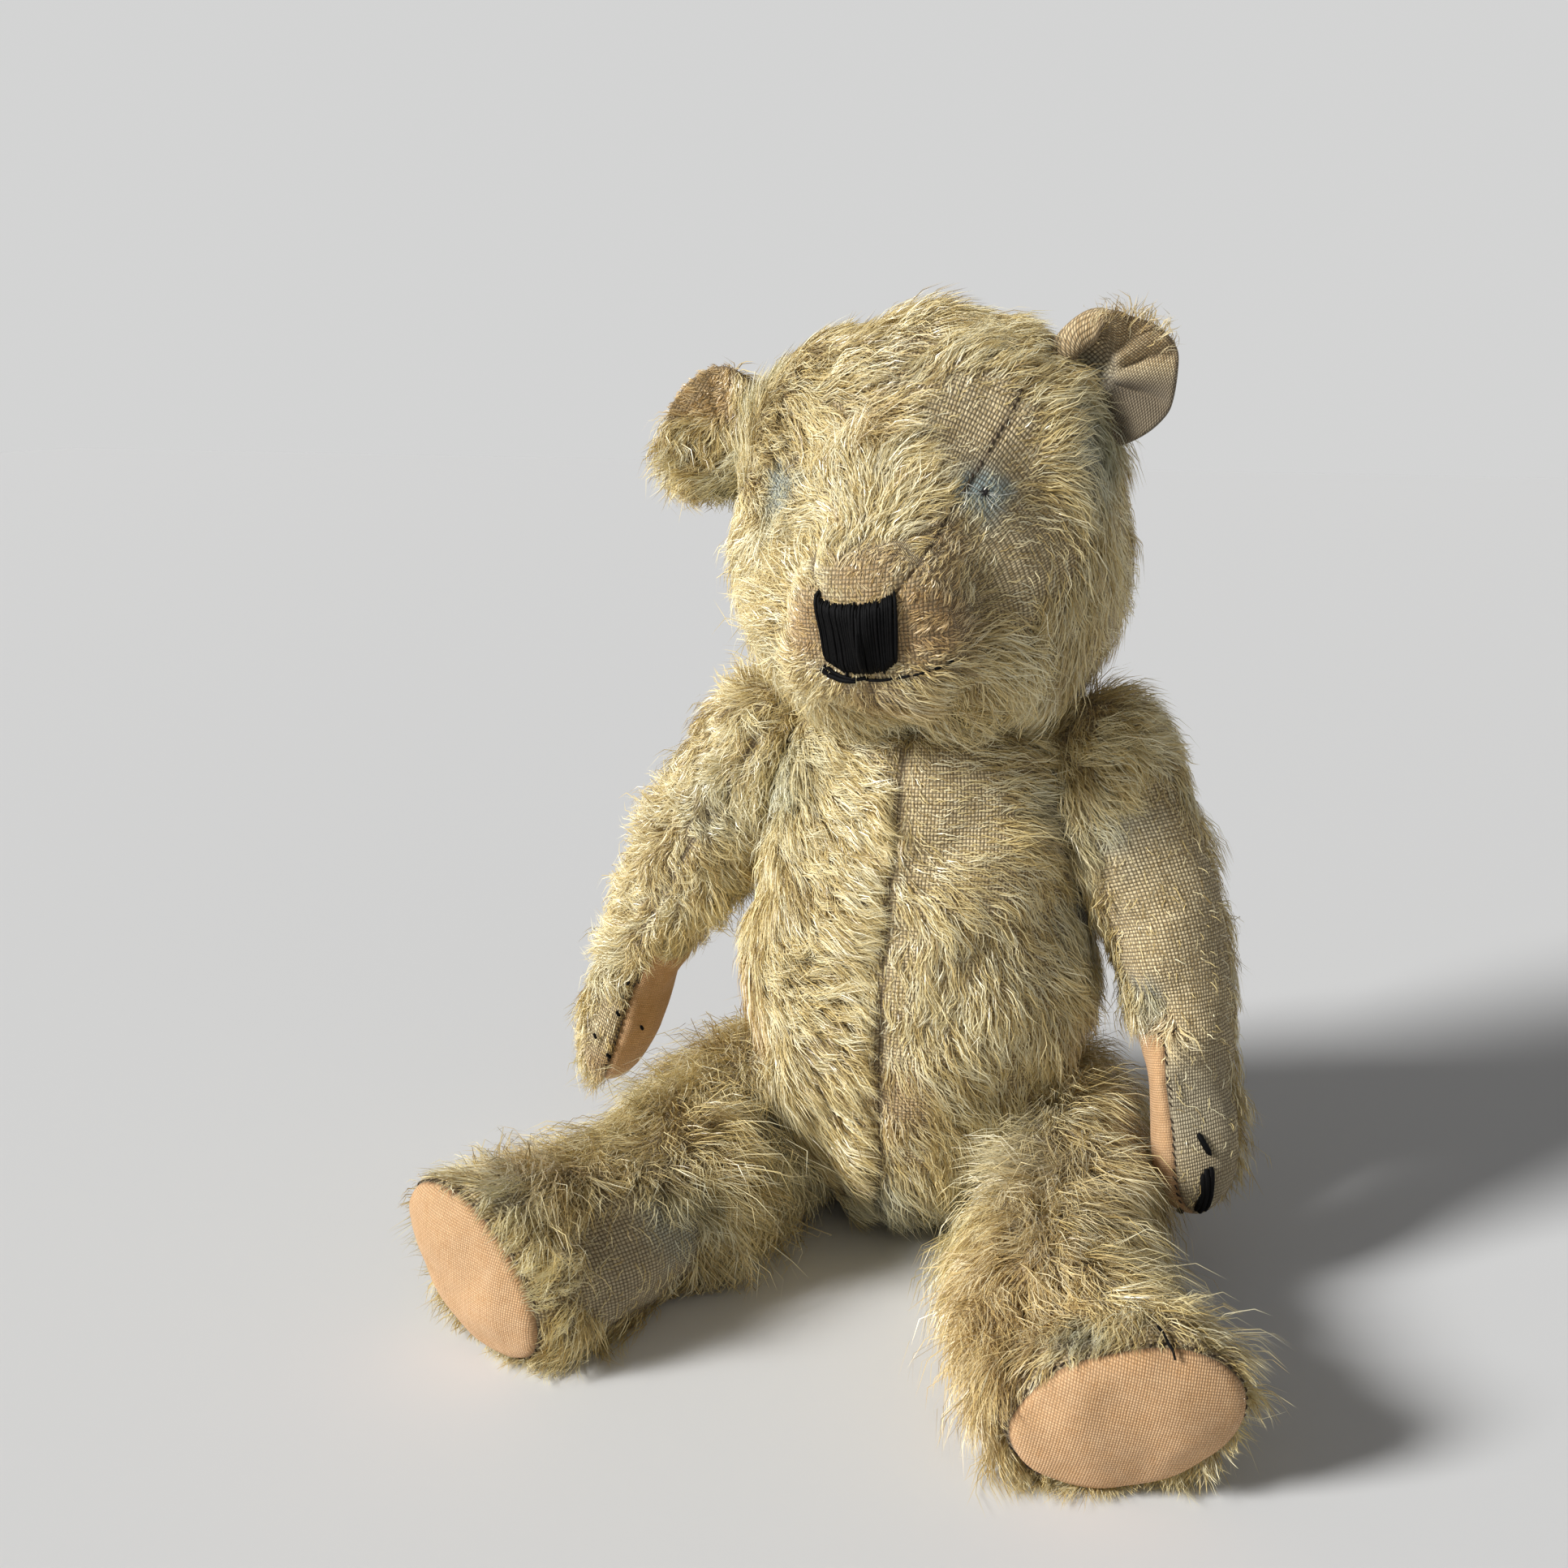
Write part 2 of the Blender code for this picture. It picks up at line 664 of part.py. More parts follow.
class Limb:
    """A stuffed limb: its start, its own directions, and the rings along it."""

    def __init__(self, joint, start, along, forward, rings, top, end, top_reach):
        self.joint = joint
        self.start = np.asarray(start, float)
        self.along = unit(along)
        self.outward = unit(joint.axis - self.along * (joint.axis @ self.along))
        self.forward = unit(forward - self.along * (forward @ self.along)
                            - self.outward * (forward @ self.outward))
        self.at = smooth(rings)
        self.top = top
        self.end = end
        self.top_reach = top_reach


def arm_limb(side):
    joint = JOINTS[f"shoulder_{side}"]
    down = np.array((0.0, 0.0, -1.0))
    down = unit(down - joint.axis * (down @ joint.axis))
    forward = np.array((0.0, -1.0, 0.0))
    swing, drift = direction(ARM_SWING[side])
    along = down * swing + forward * drift
    lean, out = direction(ARM_LEAN[side])
    along = along * lean + joint.axis * out
    start = joint.centre + joint.axis * ARM_STAND_OFF[side]
    return Limb(joint, start, along, forward, ARM_RINGS, ARM_TOP, ARM_TIP, ARM_TOP_REACH)


def arm_point(limb, station, angle):
    """A point on an arm. Angle 0 faces outwards and 90 faces forwards."""
    half_thickness, half_depth, bow, bend = limb.at(station)
    opening = dome(station - limb.top, limb.top_reach) * dome(limb.end - station, ARM_TIP_REACH)
    outward, forward = direction(angle)
    return (
        limb.start
        + limb.along * station
        + limb.outward * (bow + half_thickness * opening * outward)
        + limb.forward * (bend + half_depth * opening * forward)
    )


def limb_grid(limb, point, stations, columns):
    return np.array([[point(limb, station, angle) for angle in columns] for station in stations])


def make_arm(side, body, cutters):
    limb = arm_limb(side)
    joint = limb.joint
    upper = dome_stations(ARM_TOP, ARM_TOP_REACH, 3) + [14.0, 32.0, 56.0, PAD_START - SEAM_HALF_GAP]
    lower = [PAD_START + SEAM_HALF_GAP, 96.0, 111.0]
    lower += [ARM_TIP + ARM_TOP - s for s in reversed(dome_stations(ARM_TOP, ARM_TIP_REACH, 3))]
    whole = upper[:-1] + [PAD_START] + lower[1:]
    outside, inside = np.linspace(-90, 90, 8), np.linspace(90, 270, 8)
    out = limb.outward * SEAM_HALF_GAP
    top, tip = arm_point(limb, ARM_TOP, 0.0), arm_point(limb, ARM_TIP, 0.0)

    def pressed_grid(stations, columns, shift):
        return pressed(limb_grid(limb, arm_point, stations, columns) + shift, joint.centre, joint.axis, FIT)

    cloth_panel(f"arm_{side}_outer_panel", pressed_grid(whole, outside, out), body, MOHAIR, start=top + out,
                end=tip + out, outward_from=limb.start + limb.along * 60)
    inner = cloth_panel(f"arm_{side}_inner_panel", pressed_grid(upper, inside, -out), body, MOHAIR,
                        start=top - out, outward_from=limb.start + limb.along * 40)
    cut(inner, cutters["hole"])
    cloth_panel(f"arm_{side}_paw_pad", pressed_grid(lower, inside, -out), body, PAD_CLOTH, end=tip - out,
                outward_from=limb.start + limb.along * 118)
    mesh = lofted_mesh(f"arm_{side}_stuffing", limb_grid(limb, arm_point, whole, np.linspace(-90, 244, 14)),
                       body, start=top, end=tip, closed=True)
    inset_mesh(mesh, STUFFING_INSET)
    press_mesh(mesh, body, joint.centre, joint.axis, STUFFING_GAP)
    stuffing = body.mesh_object(f"arm_{side}_stuffing", mesh, WOOD_WOOL)
    cut(stuffing, cutters["limb"])


def leg_limb(side):
    joint = JOINTS[f"hip_{side}"]
    ahead, aside = direction(LEG_SPLAY[side])
    along = np.array((SIDE[side] * aside, -ahead, -LEG_DROP / LEG_SOLE))
    start = joint.centre + joint.axis * LEG_STAND_OFF
    start[2] = LEG_HEIGHT
    return Limb(joint, start, along, np.array((0.0, 0.0, 1.0)), LEG_RINGS, LEG_TOP, LEG_SOLE, LEG_TOP_REACH)


def leg_axes(limb, side, station):
    """Directions to the toe and across the leg, which turn outwards towards the foot."""
    roll = HIP_TILT + (FOOT_ROLL[side] - HIP_TILT) * ease(station / LEG_SOLE)
    toe, out = direction(roll)
    up = np.array((0.0, 0.0, 1.0))
    aside = unit(np.cross(up, limb.along)) * SIDE[side]
    return up * toe + aside * out, aside * toe - up * out, aside


def leg_point(side, limb, station, angle, across_shift=0.0, radius=1.0, beyond=0.0):
    """A point on a leg, or within its ring. Angle 0 faces outwards and 90 faces the toe."""
    half_toe, half_across, shift = limb.at(station)
    opening = dome(station - limb.top, limb.top_reach) * radius
    toe, across, aside = leg_axes(limb, side, station)
    outward, towards_toe = direction(angle)
    offset = toe * (shift + half_toe * opening * towards_toe)
    offset += across * (across_shift + half_across * opening * outward)
    turning = ease((station - SOLE_TURN_START) / (LEG_SOLE - SOLE_TURN_START))
    turn = math.tan(math.radians(SOLE_TURN[side])) * turning
    return limb.start + limb.along * (station + beyond - turn * (offset @ aside)) + offset


def on_floor(points, height):
    points = points.copy()
    points[..., 2] = np.maximum(points[..., 2], height)
    return points


def make_leg(side, body, cutters):
    limb = leg_limb(side)
    joint = limb.joint
    stations = dome_stations(LEG_TOP, LEG_TOP_REACH, 3)
    stations += [20.0, 40.0, 60.0, 80.0, 98.0, 114.0, 127.0, 139.0, LEG_SOLE]
    top = leg_point(side, limb, LEG_TOP, 0.0)

    def shaped(places, gap, floor):
        return on_floor(pressed(places, joint.centre, joint.axis, gap), floor)

    for half, first, sign in (("outer", -90.0, 1.0), ("inner", 90.0, -1.0)):
        columns = np.linspace(first, first + 180, 9)
        part = sign * SEAM_HALF_GAP
        grid = np.array([[leg_point(side, limb, s, a, part) for a in columns] for s in stations])
        start = leg_point(side, limb, LEG_TOP, 0.0, part)
        panel = cloth_panel(f"leg_{side}_{half}_panel", shaped(grid, FIT, 0.0), body, MOHAIR, start=start,
                            outward_from=limb.start + limb.along * 60)
        if half == "inner":
            cut(panel, cutters["hole"])
    lift = CLOTH + FIT
    grid = np.array([[leg_point(side, limb, LEG_SOLE, a, radius=r, beyond=lift + SOLE_CROWN * (1 - r * r))
                      for a in np.linspace(0, 337.5, 16)] for r in (0.45, 0.8, 1.0)])
    middle = leg_point(side, limb, LEG_SOLE, 0.0, radius=0.0, beyond=lift + SOLE_CROWN)
    cloth_panel(f"leg_{side}_foot_pad", on_floor(grid, 0.0), body, PAD_CLOTH, start=middle, closed=True,
                outward_from=middle - limb.along * 60)
    grid = np.array([[leg_point(side, limb, s, a) for a in np.linspace(-90, 247.5, 16)] for s in stations])
    sole = leg_point(side, limb, LEG_SOLE, 0.0, radius=0.0, beyond=2.0)
    mesh = lofted_mesh(f"leg_{side}_stuffing", on_floor(grid, 0.0), body, start=top, end=sole, closed=True)
    inset_mesh(mesh, STUFFING_INSET)
    press_mesh(mesh, body, joint.centre, joint.axis, STUFFING_GAP)
    stuffing = body.mesh_object(f"leg_{side}_stuffing", mesh, WOOD_WOOL)
    cut(stuffing, cutters["limb"])


def make_bear():
    torso = Body("bear", (0.0, 0.0, 0.0))
    limbs = {"neck": ("head", Body("head_on_neck", JOINTS["neck"].centre))}
    for side in SIDE:
        shoulder, hip = JOINTS[f"shoulder_{side}"], JOINTS[f"hip_{side}"]
        limbs[shoulder.name] = ("arm", Body(f"arm_{side}_on_shoulder", shoulder.centre))
        limbs[hip.name] = ("leg", Body(f"leg_{side}_on_hip", hip.centre))
    cutters = {name: joint_stack(JOINTS[name], torso, body, place) for name, (place, body) in limbs.items()}
    for place, body in limbs.values():
        body.empty.parent = torso.empty
    make_torso(torso, cutters)
    make_head(limbs["neck"][1], cutters)
    for side in SIDE:
        make_arm(side, limbs[f"shoulder_{side}"][1], cutters[f"shoulder_{side}"])
        make_leg(side, limbs[f"hip_{side}"][1], cutters[f"hip_{side}"])


clear_scene()
PARTS = make_collection("teddy_bear")
CUTTERS = make_collection("cutters")
make_bear()
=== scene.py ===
# %% [markdown]
# # A threadbare, disc-jointed teddy bear
#
# The bear is sewn from mohair plush: a woven cotton backing with long curly pile standing out of it. Years
# of handling have worn the pile away in places, so the weave shows through. Each limb and the head turn on a
# hidden disc joint. The frame holds the solid bear, and this lesson dresses it: stuffed covers, worn
# patches, pile, stitched nose, mouth and claws, and woven pads.
#
# The shapes repeat the ring tables that the frame was built from, so every cover lies where its solid is.

# %% Load the frame
import json
import math

import bmesh
import bpy
import numpy as np
from mathutils import Matrix, Vector
from mathutils.bvhtree import BVHTree


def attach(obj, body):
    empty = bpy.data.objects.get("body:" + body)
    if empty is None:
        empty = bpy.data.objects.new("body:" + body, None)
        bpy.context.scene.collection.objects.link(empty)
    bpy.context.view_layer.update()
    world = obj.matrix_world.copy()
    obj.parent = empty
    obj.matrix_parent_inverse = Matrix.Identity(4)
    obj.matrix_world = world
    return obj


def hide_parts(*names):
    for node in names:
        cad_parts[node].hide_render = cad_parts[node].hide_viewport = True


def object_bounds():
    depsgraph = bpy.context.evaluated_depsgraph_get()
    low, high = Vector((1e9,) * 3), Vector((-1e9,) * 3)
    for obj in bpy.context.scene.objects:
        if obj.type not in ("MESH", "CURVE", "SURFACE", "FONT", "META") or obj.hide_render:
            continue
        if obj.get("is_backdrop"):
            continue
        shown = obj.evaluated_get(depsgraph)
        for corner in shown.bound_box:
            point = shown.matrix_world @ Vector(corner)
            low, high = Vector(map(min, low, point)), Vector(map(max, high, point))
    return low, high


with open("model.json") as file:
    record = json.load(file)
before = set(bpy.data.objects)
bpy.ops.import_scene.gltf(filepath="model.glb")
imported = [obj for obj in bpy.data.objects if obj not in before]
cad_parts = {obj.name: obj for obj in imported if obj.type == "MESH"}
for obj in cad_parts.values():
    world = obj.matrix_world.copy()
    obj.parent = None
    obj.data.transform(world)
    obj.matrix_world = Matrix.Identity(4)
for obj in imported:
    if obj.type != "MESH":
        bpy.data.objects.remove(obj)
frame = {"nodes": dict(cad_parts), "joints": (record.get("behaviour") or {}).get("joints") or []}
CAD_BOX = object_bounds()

MM = 0.001
SIDES = {"left": 1.0, "right": -1.0}
LEFTWARD, FORWARD = np.array((1.0, 0.0, 0.0)), np.array((0.0, -1.0, 0.0))
UPWARD, DOWNWARD = np.array((0.0, 0.0, 1.0)), np.array((0.0, 0.0, -1.0))

# %% [markdown]
# ## Camera
#
# The bear is seen from a little above its head, turned slightly towards its left side. The camera is made
# first.

# %% Camera
CAMERA_PLACE = Vector((0.1154, -0.4960, 0.2840))
CAMERA_LOOK = Vector((-0.3065, 0.9160, -0.2588))
CAMERA_LENS, CAMERA_SENSOR, CAMERA_NEAREST = 36.06, 36.0, 0.01


def shown(thing):
    """Adds an object to the scene."""
    bpy.context.scene.collection.objects.link(thing)
    return thing


camera = shown(bpy.data.objects.new("camera", bpy.data.cameras.new("camera")))
camera.location = CAMERA_PLACE
camera.rotation_euler = CAMERA_LOOK.to_track_quat("-Z", "Y").to_euler()
camera.data.sensor_width, camera.data.lens = CAMERA_SENSOR, CAMERA_LENS
camera.data.clip_start = CAMERA_NEAREST
bpy.context.scene.camera = camera
print("camera", tuple(round(v, 3) for v in camera.location))

# %% [markdown]
# ## Small tools: smooth ring tables, round ends and drifting noise
#
# A stuffed shape is a row of rings. A table gives a few rings and a smooth curve fills in the rest. Round
# ends open like a dome. Hand-made things are never regular, so a field of drifting noise, made from crossing
# waves with a fixed seed, will later vary lumps, pile and wear.

# %% Curves and noise


def unit(vectors):
    """Vectors scaled to length 1."""
    vectors = np.asarray(vectors, float)
    return vectors / np.maximum(np.linalg.norm(vectors, axis=-1, keepdims=True), 1e-12)


def square_to(vector, axis):
    """The part of one vector that is square to an axis, scaled to length 1."""
    return unit(vector - axis * (vector @ axis))


def laid_flat(vectors, normals):
    """The parts of many vectors that lie along a surface, scaled to length 1."""
    return unit(vectors - normals * (vectors * normals).sum(1)[:, None])


def turn(degrees):
    """Cosine and sine of angles in degrees."""
    return np.cos(np.radians(degrees)), np.sin(np.radians(degrees))


def ease(t):
    """A smooth step from 0 to 1."""
    t = np.clip(t, 0.0, 1.0)
    return t * t * (3 - 2 * t)


def bell(t):
    """A bell curve: 1 in its middle and about a third at 1."""
    return np.exp(-(t**2))


def dome(distance, reach):
    """How far a round end has opened out at a distance from its pole."""
    t = np.clip(np.asarray(distance, float) / reach, 0.0, 1.0)
    return np.sqrt(1 - (1 - t) ** 2)


def ring_curve(rows):
    """A smooth curve through rows of (station, sizes), read at many stations at once."""
    table = np.array(rows, float)
    stations, values = table[:, 0], table[:, 1:]
    slopes = np.gradient(values, stations, axis=0)

    def sizes_at(station):
        station = np.atleast_1d(station).astype(float)
        i = np.clip(np.searchsorted(stations, station, side="right") - 1, 0, len(stations) - 2)
        span = (stations[i + 1] - stations[i])[:, None]
        t = np.clip((station - stations[i])[:, None] / span, 0.0, 1.0)
        mix = ease(t)
        bend = slopes[i] * span * t * (1 - t) ** 2 + slopes[i + 1] * span * t * t * (t - 1)
        return (values[i] * (1 - mix) + values[i + 1] * mix + bend).T

    return sizes_at


def drift(points, size, seed, waves=20):
    """A smooth field from about -1 to 1 that changes over roughly one size, in millimetres."""
    rng = np.random.default_rng(seed)
    ways = unit(rng.normal(size=(waves, 3))) * rng.uniform(0.6, 1.5, (waves, 1)) * math.pi / size
    field = np.sin(points @ ways.T + rng.uniform(0, 2 * math.pi, waves)).sum(1)
    return np.clip(field * 1.1 / math.sqrt(waves), -1, 1)


def steps(start, end, count):
    """Evenly spaced values with the last one left out."""
    return list(np.linspace(start, end, count, endpoint=False))


def dome_steps(pole, reach, count):
    """Stations that step evenly round a quarter circle away from its pole."""
    return [pole + reach * (1 - math.cos(math.pi / 2 * (i + 1) / count)) for i in range(count)]


def closing_steps(start, tip, reach, count):
    """The same steps the other way round, closing in on a tip."""
    return [tip + start - s for s in reversed(dome_steps(start, reach, count))]


print("a ring halfway up a 10 mm dome is open by", round(float(dome(5, 10)), 3))

# %% [markdown]
# ## The joints
#
# Each joint's centre and axis come from the frame's record. A limb lies flat against the torso round its
# joint, so covers are pressed on to the joint's plane there.

# %% Joint planes


class JointPlane:
    """A disc joint: its centre in millimetres, and the axis that points out of the torso."""

    def __init__(self, name, outward):
        row = next(j for j in frame["joints"] if j["name"] == name)
        self.centre = np.array(row["pos_m"]) / MM
        self.axis = unit(row["axis"])
        if self.axis @ outward < 0:
            self.axis = -self.axis


JOINTS = {"neck": JointPlane("neck_turn", (0, 0, 1))}
for side, sign in SIDES.items():
    JOINTS[f"shoulder_{side}"] = JointPlane(f"shoulder_{side}_swing", (sign, 0, 0))
    JOINTS[f"hip_{side}"] = JointPlane(f"hip_{side}_swing", (sign, 0, 0))


def pressed(points, joint, outwards, gap=0.3):
    """Points flattened on to a joint's plane, on its outer or its inner side."""
    axis = joint.axis if outwards else -joint.axis
    depth = (points - joint.centre) @ axis - gap
    return points - np.minimum(depth, 0.0)[:, None] * axis


for name, joint in JOINTS.items():
    print(name, joint.centre.round(1), joint.axis.round(3))

# %% [markdown]
# ## The torso's shape
#
# On the real bear the torso is two shaped panels sewn down the front and the back, stuffed until hard. It
# could be sculpted, but a table of rings keeps it exactly where the frame's solid is. Every skin point also
# remembers its place on the pattern: the angle round the body and the station along it. Seams, worn spots
# and the weave's direction all follow from that.

# %% Torso
TORSO_TOP = 174.5
TORSO_RINGS = (
    (0, 25, 27, 2),
    (6, 37, 37, 2),
    (20, 48, 45, 3),
    (45, 56, 51, 5),
    (80, 58, 53, 6),
    (115, 55.5, 49, 4),
    (145, 54, 43, 0),
    (161, 51, 40, -2),
    (170, 44, 35, -2),
    (174.5, 35, 30, -2),
)
SEAT_REACH, NECK_REACH = 25.0, 30.0
SEAM_WANDER, WANDER_HEIGHT = -6.0, 45.0
torso_curve = ring_curve(TORSO_RINGS)
TORSO_COLUMNS = steps(-90, 90, 36) + steps(90, 270, 36)
TORSO_STATIONS = steps(-21, 0, 4) + [0, 2.5, 5.5, 9, 13] + steps(17, 169, 30)
TORSO_STATIONS += [169, 171.5, 173.3, TORSO_TOP, 181, 187, 193, 199]


def seam_shift(height):
    """How far the front and back seams wander to one side as they run down to the seat."""
    return SEAM_WANDER * (1 - ease(np.asarray(height) / WANDER_HEIGHT))


def torso_point(station, angle):
    """A point on the torso. Angle 0 faces its left and -90 its front; past each end it crosses the flat."""
    height = np.clip(station, 0.0, TORSO_TOP)
    half_width, half_depth, forward = torso_curve(height)
    under = np.clip(1 + station / SEAT_REACH, 0.0, 1.0)
    over = np.clip(1 - (station - TORSO_TOP) / NECK_REACH, 0.0, 1.0)
    cos, sin = turn(angle)
    return np.stack([
        seam_shift(height) + half_width * under * over * cos,
        half_depth * under * over * sin - forward,
        height,
    ], axis=1)


middle_ring = torso_point(np.full(4, 80.0), np.array([0, 90, 180, 270]))
print("torso at 80 mm is", round(middle_ring[0, 0] - middle_ring[2, 0], 1), "mm wide")

# %% [markdown]
# ## The head's shape
#
# The head has a side panel on each cheek and a gusset that runs from the nose over the crown to the nape.
# It nods a little and leans to one side, so it has axes of its own: to its left, its crown and its nose.

# %% Head
HEAD_CENTRE = np.array((0.0, 3.0, 233.0))
HEAD_BACK, MUZZLE_TIP = -58.0, 86.0
SKULL_REACH, MUZZLE_REACH = 46.0, 13.0
MUZZLE_HEART, JAW_FULLNESS = 25, 0.85
GUSSET_ANGLE = 38.0
HEAD_RINGS = (
    (-58, 56, 55, 0),
    (-25, 62, 62, 0),
    (5, 64, 65, 0),
    (25, 60, 58, -2),
    (44, 45, 44, -8),
    (60, 32, 31, -11),
    (74, 26, 24, -12),
    (86, 24, 21, -12),
)
head_curve = ring_curve(HEAD_RINGS)
HEAD_COLUMNS = steps(-GUSSET_ANGLE, GUSSET_ANGLE, 16) + steps(GUSSET_ANGLE, 180, 28)
HEAD_COLUMNS += steps(180, 360 - GUSSET_ANGLE, 28)
HEAD_STATIONS = dome_steps(HEAD_BACK, SKULL_REACH, 14) + steps(-7, 73, 17)
HEAD_STATIONS += closing_steps(HEAD_BACK, MUZZLE_TIP, MUZZLE_REACH, 6)


def head_axes(tip=-5.0, nod=8.0, turned=2.0):
    """Directions to the head's left, crown and nose after it is tipped, nodded and turned."""
    axes = [Vector((1, 0, 0)), Vector((0, 0, 1)), Vector((0, -1, 0))]
    for axis, angle in (((0, -1, 0), -tip), ((1, 0, 0), nod), ((0, 0, 1), -turned)):
        axes = [Matrix.Rotation(math.radians(angle), 3, Vector(axis)) @ a for a in axes]
    return [np.array(a) for a in axes]


HEAD_LEFT, HEAD_CROWN, HEAD_NOSE = head_axes()


def head_place(left, up, station):
    """A point given by its distances along the head's own directions."""
    parts = ((left, HEAD_LEFT), (up, HEAD_CROWN), (station, HEAD_NOSE))
    return HEAD_CENTRE + sum(np.atleast_1d(size)[:, None] * axis for size, axis in parts)


def head_ring(station):
    """Half-width, half-height and upward shift of the head at a station."""
    half_width, half_height, shift = head_curve(station)
    opening = dome(station - HEAD_BACK, SKULL_REACH) * dome(MUZZLE_TIP - station, MUZZLE_REACH)
    return half_width * opening, half_height * opening, shift


def head_point(station, angle):
    """A point on the head. Angle 0 is the crown and 90 faces its left."""
    half_width, half_height, shift = head_ring(station)
    up, across = turn(angle)
    low = up < 0
    across = np.where(low, np.sign(across) * np.abs(across) ** JAW_FULLNESS, across)
    up = np.where(low, -np.abs(up) ** JAW_FULLNESS, up)
    return head_place(half_width * across, shift + half_height * up, station)


def head_front(left, up, out=0.0):
    """The point of the muzzle's front under a place seen from the nose, raised off the cloth."""
    left, up = np.atleast_1d(left).astype(float), np.atleast_1d(up).astype(float)
    near, far = np.full(len(left), 10.0), np.full(len(left), MUZZLE_TIP)
    for _ in range(40):
        middle = (near + far) / 2
        half_width, half_height, shift = head_ring(middle)
        outside = (left / half_width) ** 2 + ((up - shift) / half_height) ** 2 > 1
        near, far = np.where(outside, near, middle), np.where(outside, middle, far)
    spot = head_place(left, up, near)
    away = unit(spot - head_place(0.0, head_curve(MUZZLE_TIP)[2], MUZZLE_TIP - MUZZLE_HEART))
    return spot + away * out


NOSE_MIDDLE = head_place(0.0, -10.0, MUZZLE_TIP)[0]
print("the nose is at", NOSE_MIDDLE.round(1))

# %% [markdown]
# ## The shapes of the arms and legs
#
# Each limb is a bent sausage along a line of its own. An arm hangs from its shoulder and thins towards a
# curved paw. A leg lies forwards on the floor, and its foot turns up and flares to a flat sole.

# %% Limbs
ARM_TOP, ARM_TIP, PAD_START = -27.0, 139.0, 80.0
ARM_TOP_REACH, ARM_TIP_REACH = 22.0, 15.0
ARM_RINGS = (
    (-27, 20, 22, 0, 0),
    (5, 21.5, 23.5, 0.5, 0),
    (42, 20, 21.5, 5, 0),
    (75, 17, 18, 6, 1),
    (98, 14.5, 15.5, 4.5, 3),
    (120, 14, 15.5, 1, 6),
    (139, 12.5, 14, -2, 9),
)
LEG_TOP, LEG_SOLE, LEG_TOP_REACH = -27.0, 150.0, 26.0
LEG_RINGS = (
    (-27, 27, 28, 0),
    (0, 29, 28.5, 0),
    (42, 29, 28, -0.5),
    (82, 28, 26, -3.5),
    (110, 27.5, 25, -4),
    (130, 31, 22, 2),
    (150, 33, 21, 9),
)
SOLE_ROWS, SOLE_PROUD, SOLE_CROWN = 40.0, 0.7, 6.6
# Arms: stand-off in millimetres, lean outwards and swing forwards in degrees.
ARM_SHAPE = {"left": (13.5, 4.5, 12.0), "right": (12.5, 13.5, 0.0)}
# Legs: splay, the foot's turn outwards and the sole's lean, in degrees.
LEG_SHAPE = {"left": (14.0, 72.0, 0.0), "right": (20.0, 58.0, 2.0)}
LEG_STAND_OFF, LEG_HEIGHT, LEG_DROP = 16.0, 28.0, 7.0
HIP_TILT, LEAN_START, LEAN_RUN = 33.0, 100.0, 50.0
arm_curve, leg_curve = ring_curve(ARM_RINGS), ring_curve(LEG_RINGS)
ARM_STATIONS = dome_steps(ARM_TOP, ARM_TOP_REACH, 6) + steps(0, 80, 16) + steps(80, 122, 9)
ARM_STATIONS += closing_steps(ARM_TOP, ARM_TIP, ARM_TIP_REACH, 5)
LEG_STATIONS = dome_steps(LEG_TOP, LEG_TOP_REACH, 7) + steps(4, 150, 29) + steps(150, 150 + SOLE_ROWS, 7)
ARM_COLUMNS = steps(-90, 90, 13) + steps(90, 270, 13)
LEG_COLUMNS = steps(-90, 90, 18) + steps(90, 270, 18)


class Limb:
    """A stuffed limb: where it starts, and its own directions along, outward and forward."""

    def __init__(self, joint, start, along, forward):
        self.joint, self.start, self.along = joint, start, unit(along)
        self.outward = square_to(joint.axis, self.along)
        side_part = self.along * (forward @ self.along) + self.outward * (forward @ self.outward)
        self.forward = unit(forward - side_part)


def arm_limb(side):
    """An arm's start and directions from its stand-off, lean and forward swing."""
    stand_off, lean, swing = ARM_SHAPE[side]
    joint = JOINTS[f"shoulder_{side}"]
    down = square_to(DOWNWARD, joint.axis)
    ahead, drop = turn(swing)
    hang, out = turn(lean)
    along = (down * ahead + FORWARD * drop) * hang + joint.axis * out
    return Limb(joint, joint.centre + joint.axis * stand_off, along, FORWARD)


def leg_limb(side):
    """A leg's start and directions, which splay outwards and drop a little to the floor."""
    joint = JOINTS[f"hip_{side}"]
    ahead, aside = turn(LEG_SHAPE[side][0])
    start = joint.centre + joint.axis * LEG_STAND_OFF
    start[2] = LEG_HEIGHT
    return Limb(joint, start, (SIDES[side] * aside, -ahead, -LEG_DROP / LEG_SOLE), UPWARD)


LIMBS = {f"arm_{side}": arm_limb(side) for side in SIDES} | {f"leg_{side}": leg_limb(side) for side in SIDES}


def arm_point(side, station, angle):
    """A point on an arm. Angle 0 faces outwards and 90 faces forwards."""
    limb = LIMBS[f"arm_{side}"]
    half_thick, half_deep, bow, bend = arm_curve(station)
    opening = dome(station - ARM_TOP, ARM_TOP_REACH) * dome(ARM_TIP - station, ARM_TIP_REACH)
    outward, forward = turn(angle)
    return (
        limb.start
        + np.outer(station, limb.along)
        + np.outer(bow + half_thick * opening * outward, limb.outward)
        + np.outer(bend + half_deep * opening * forward, limb.forward)
    )


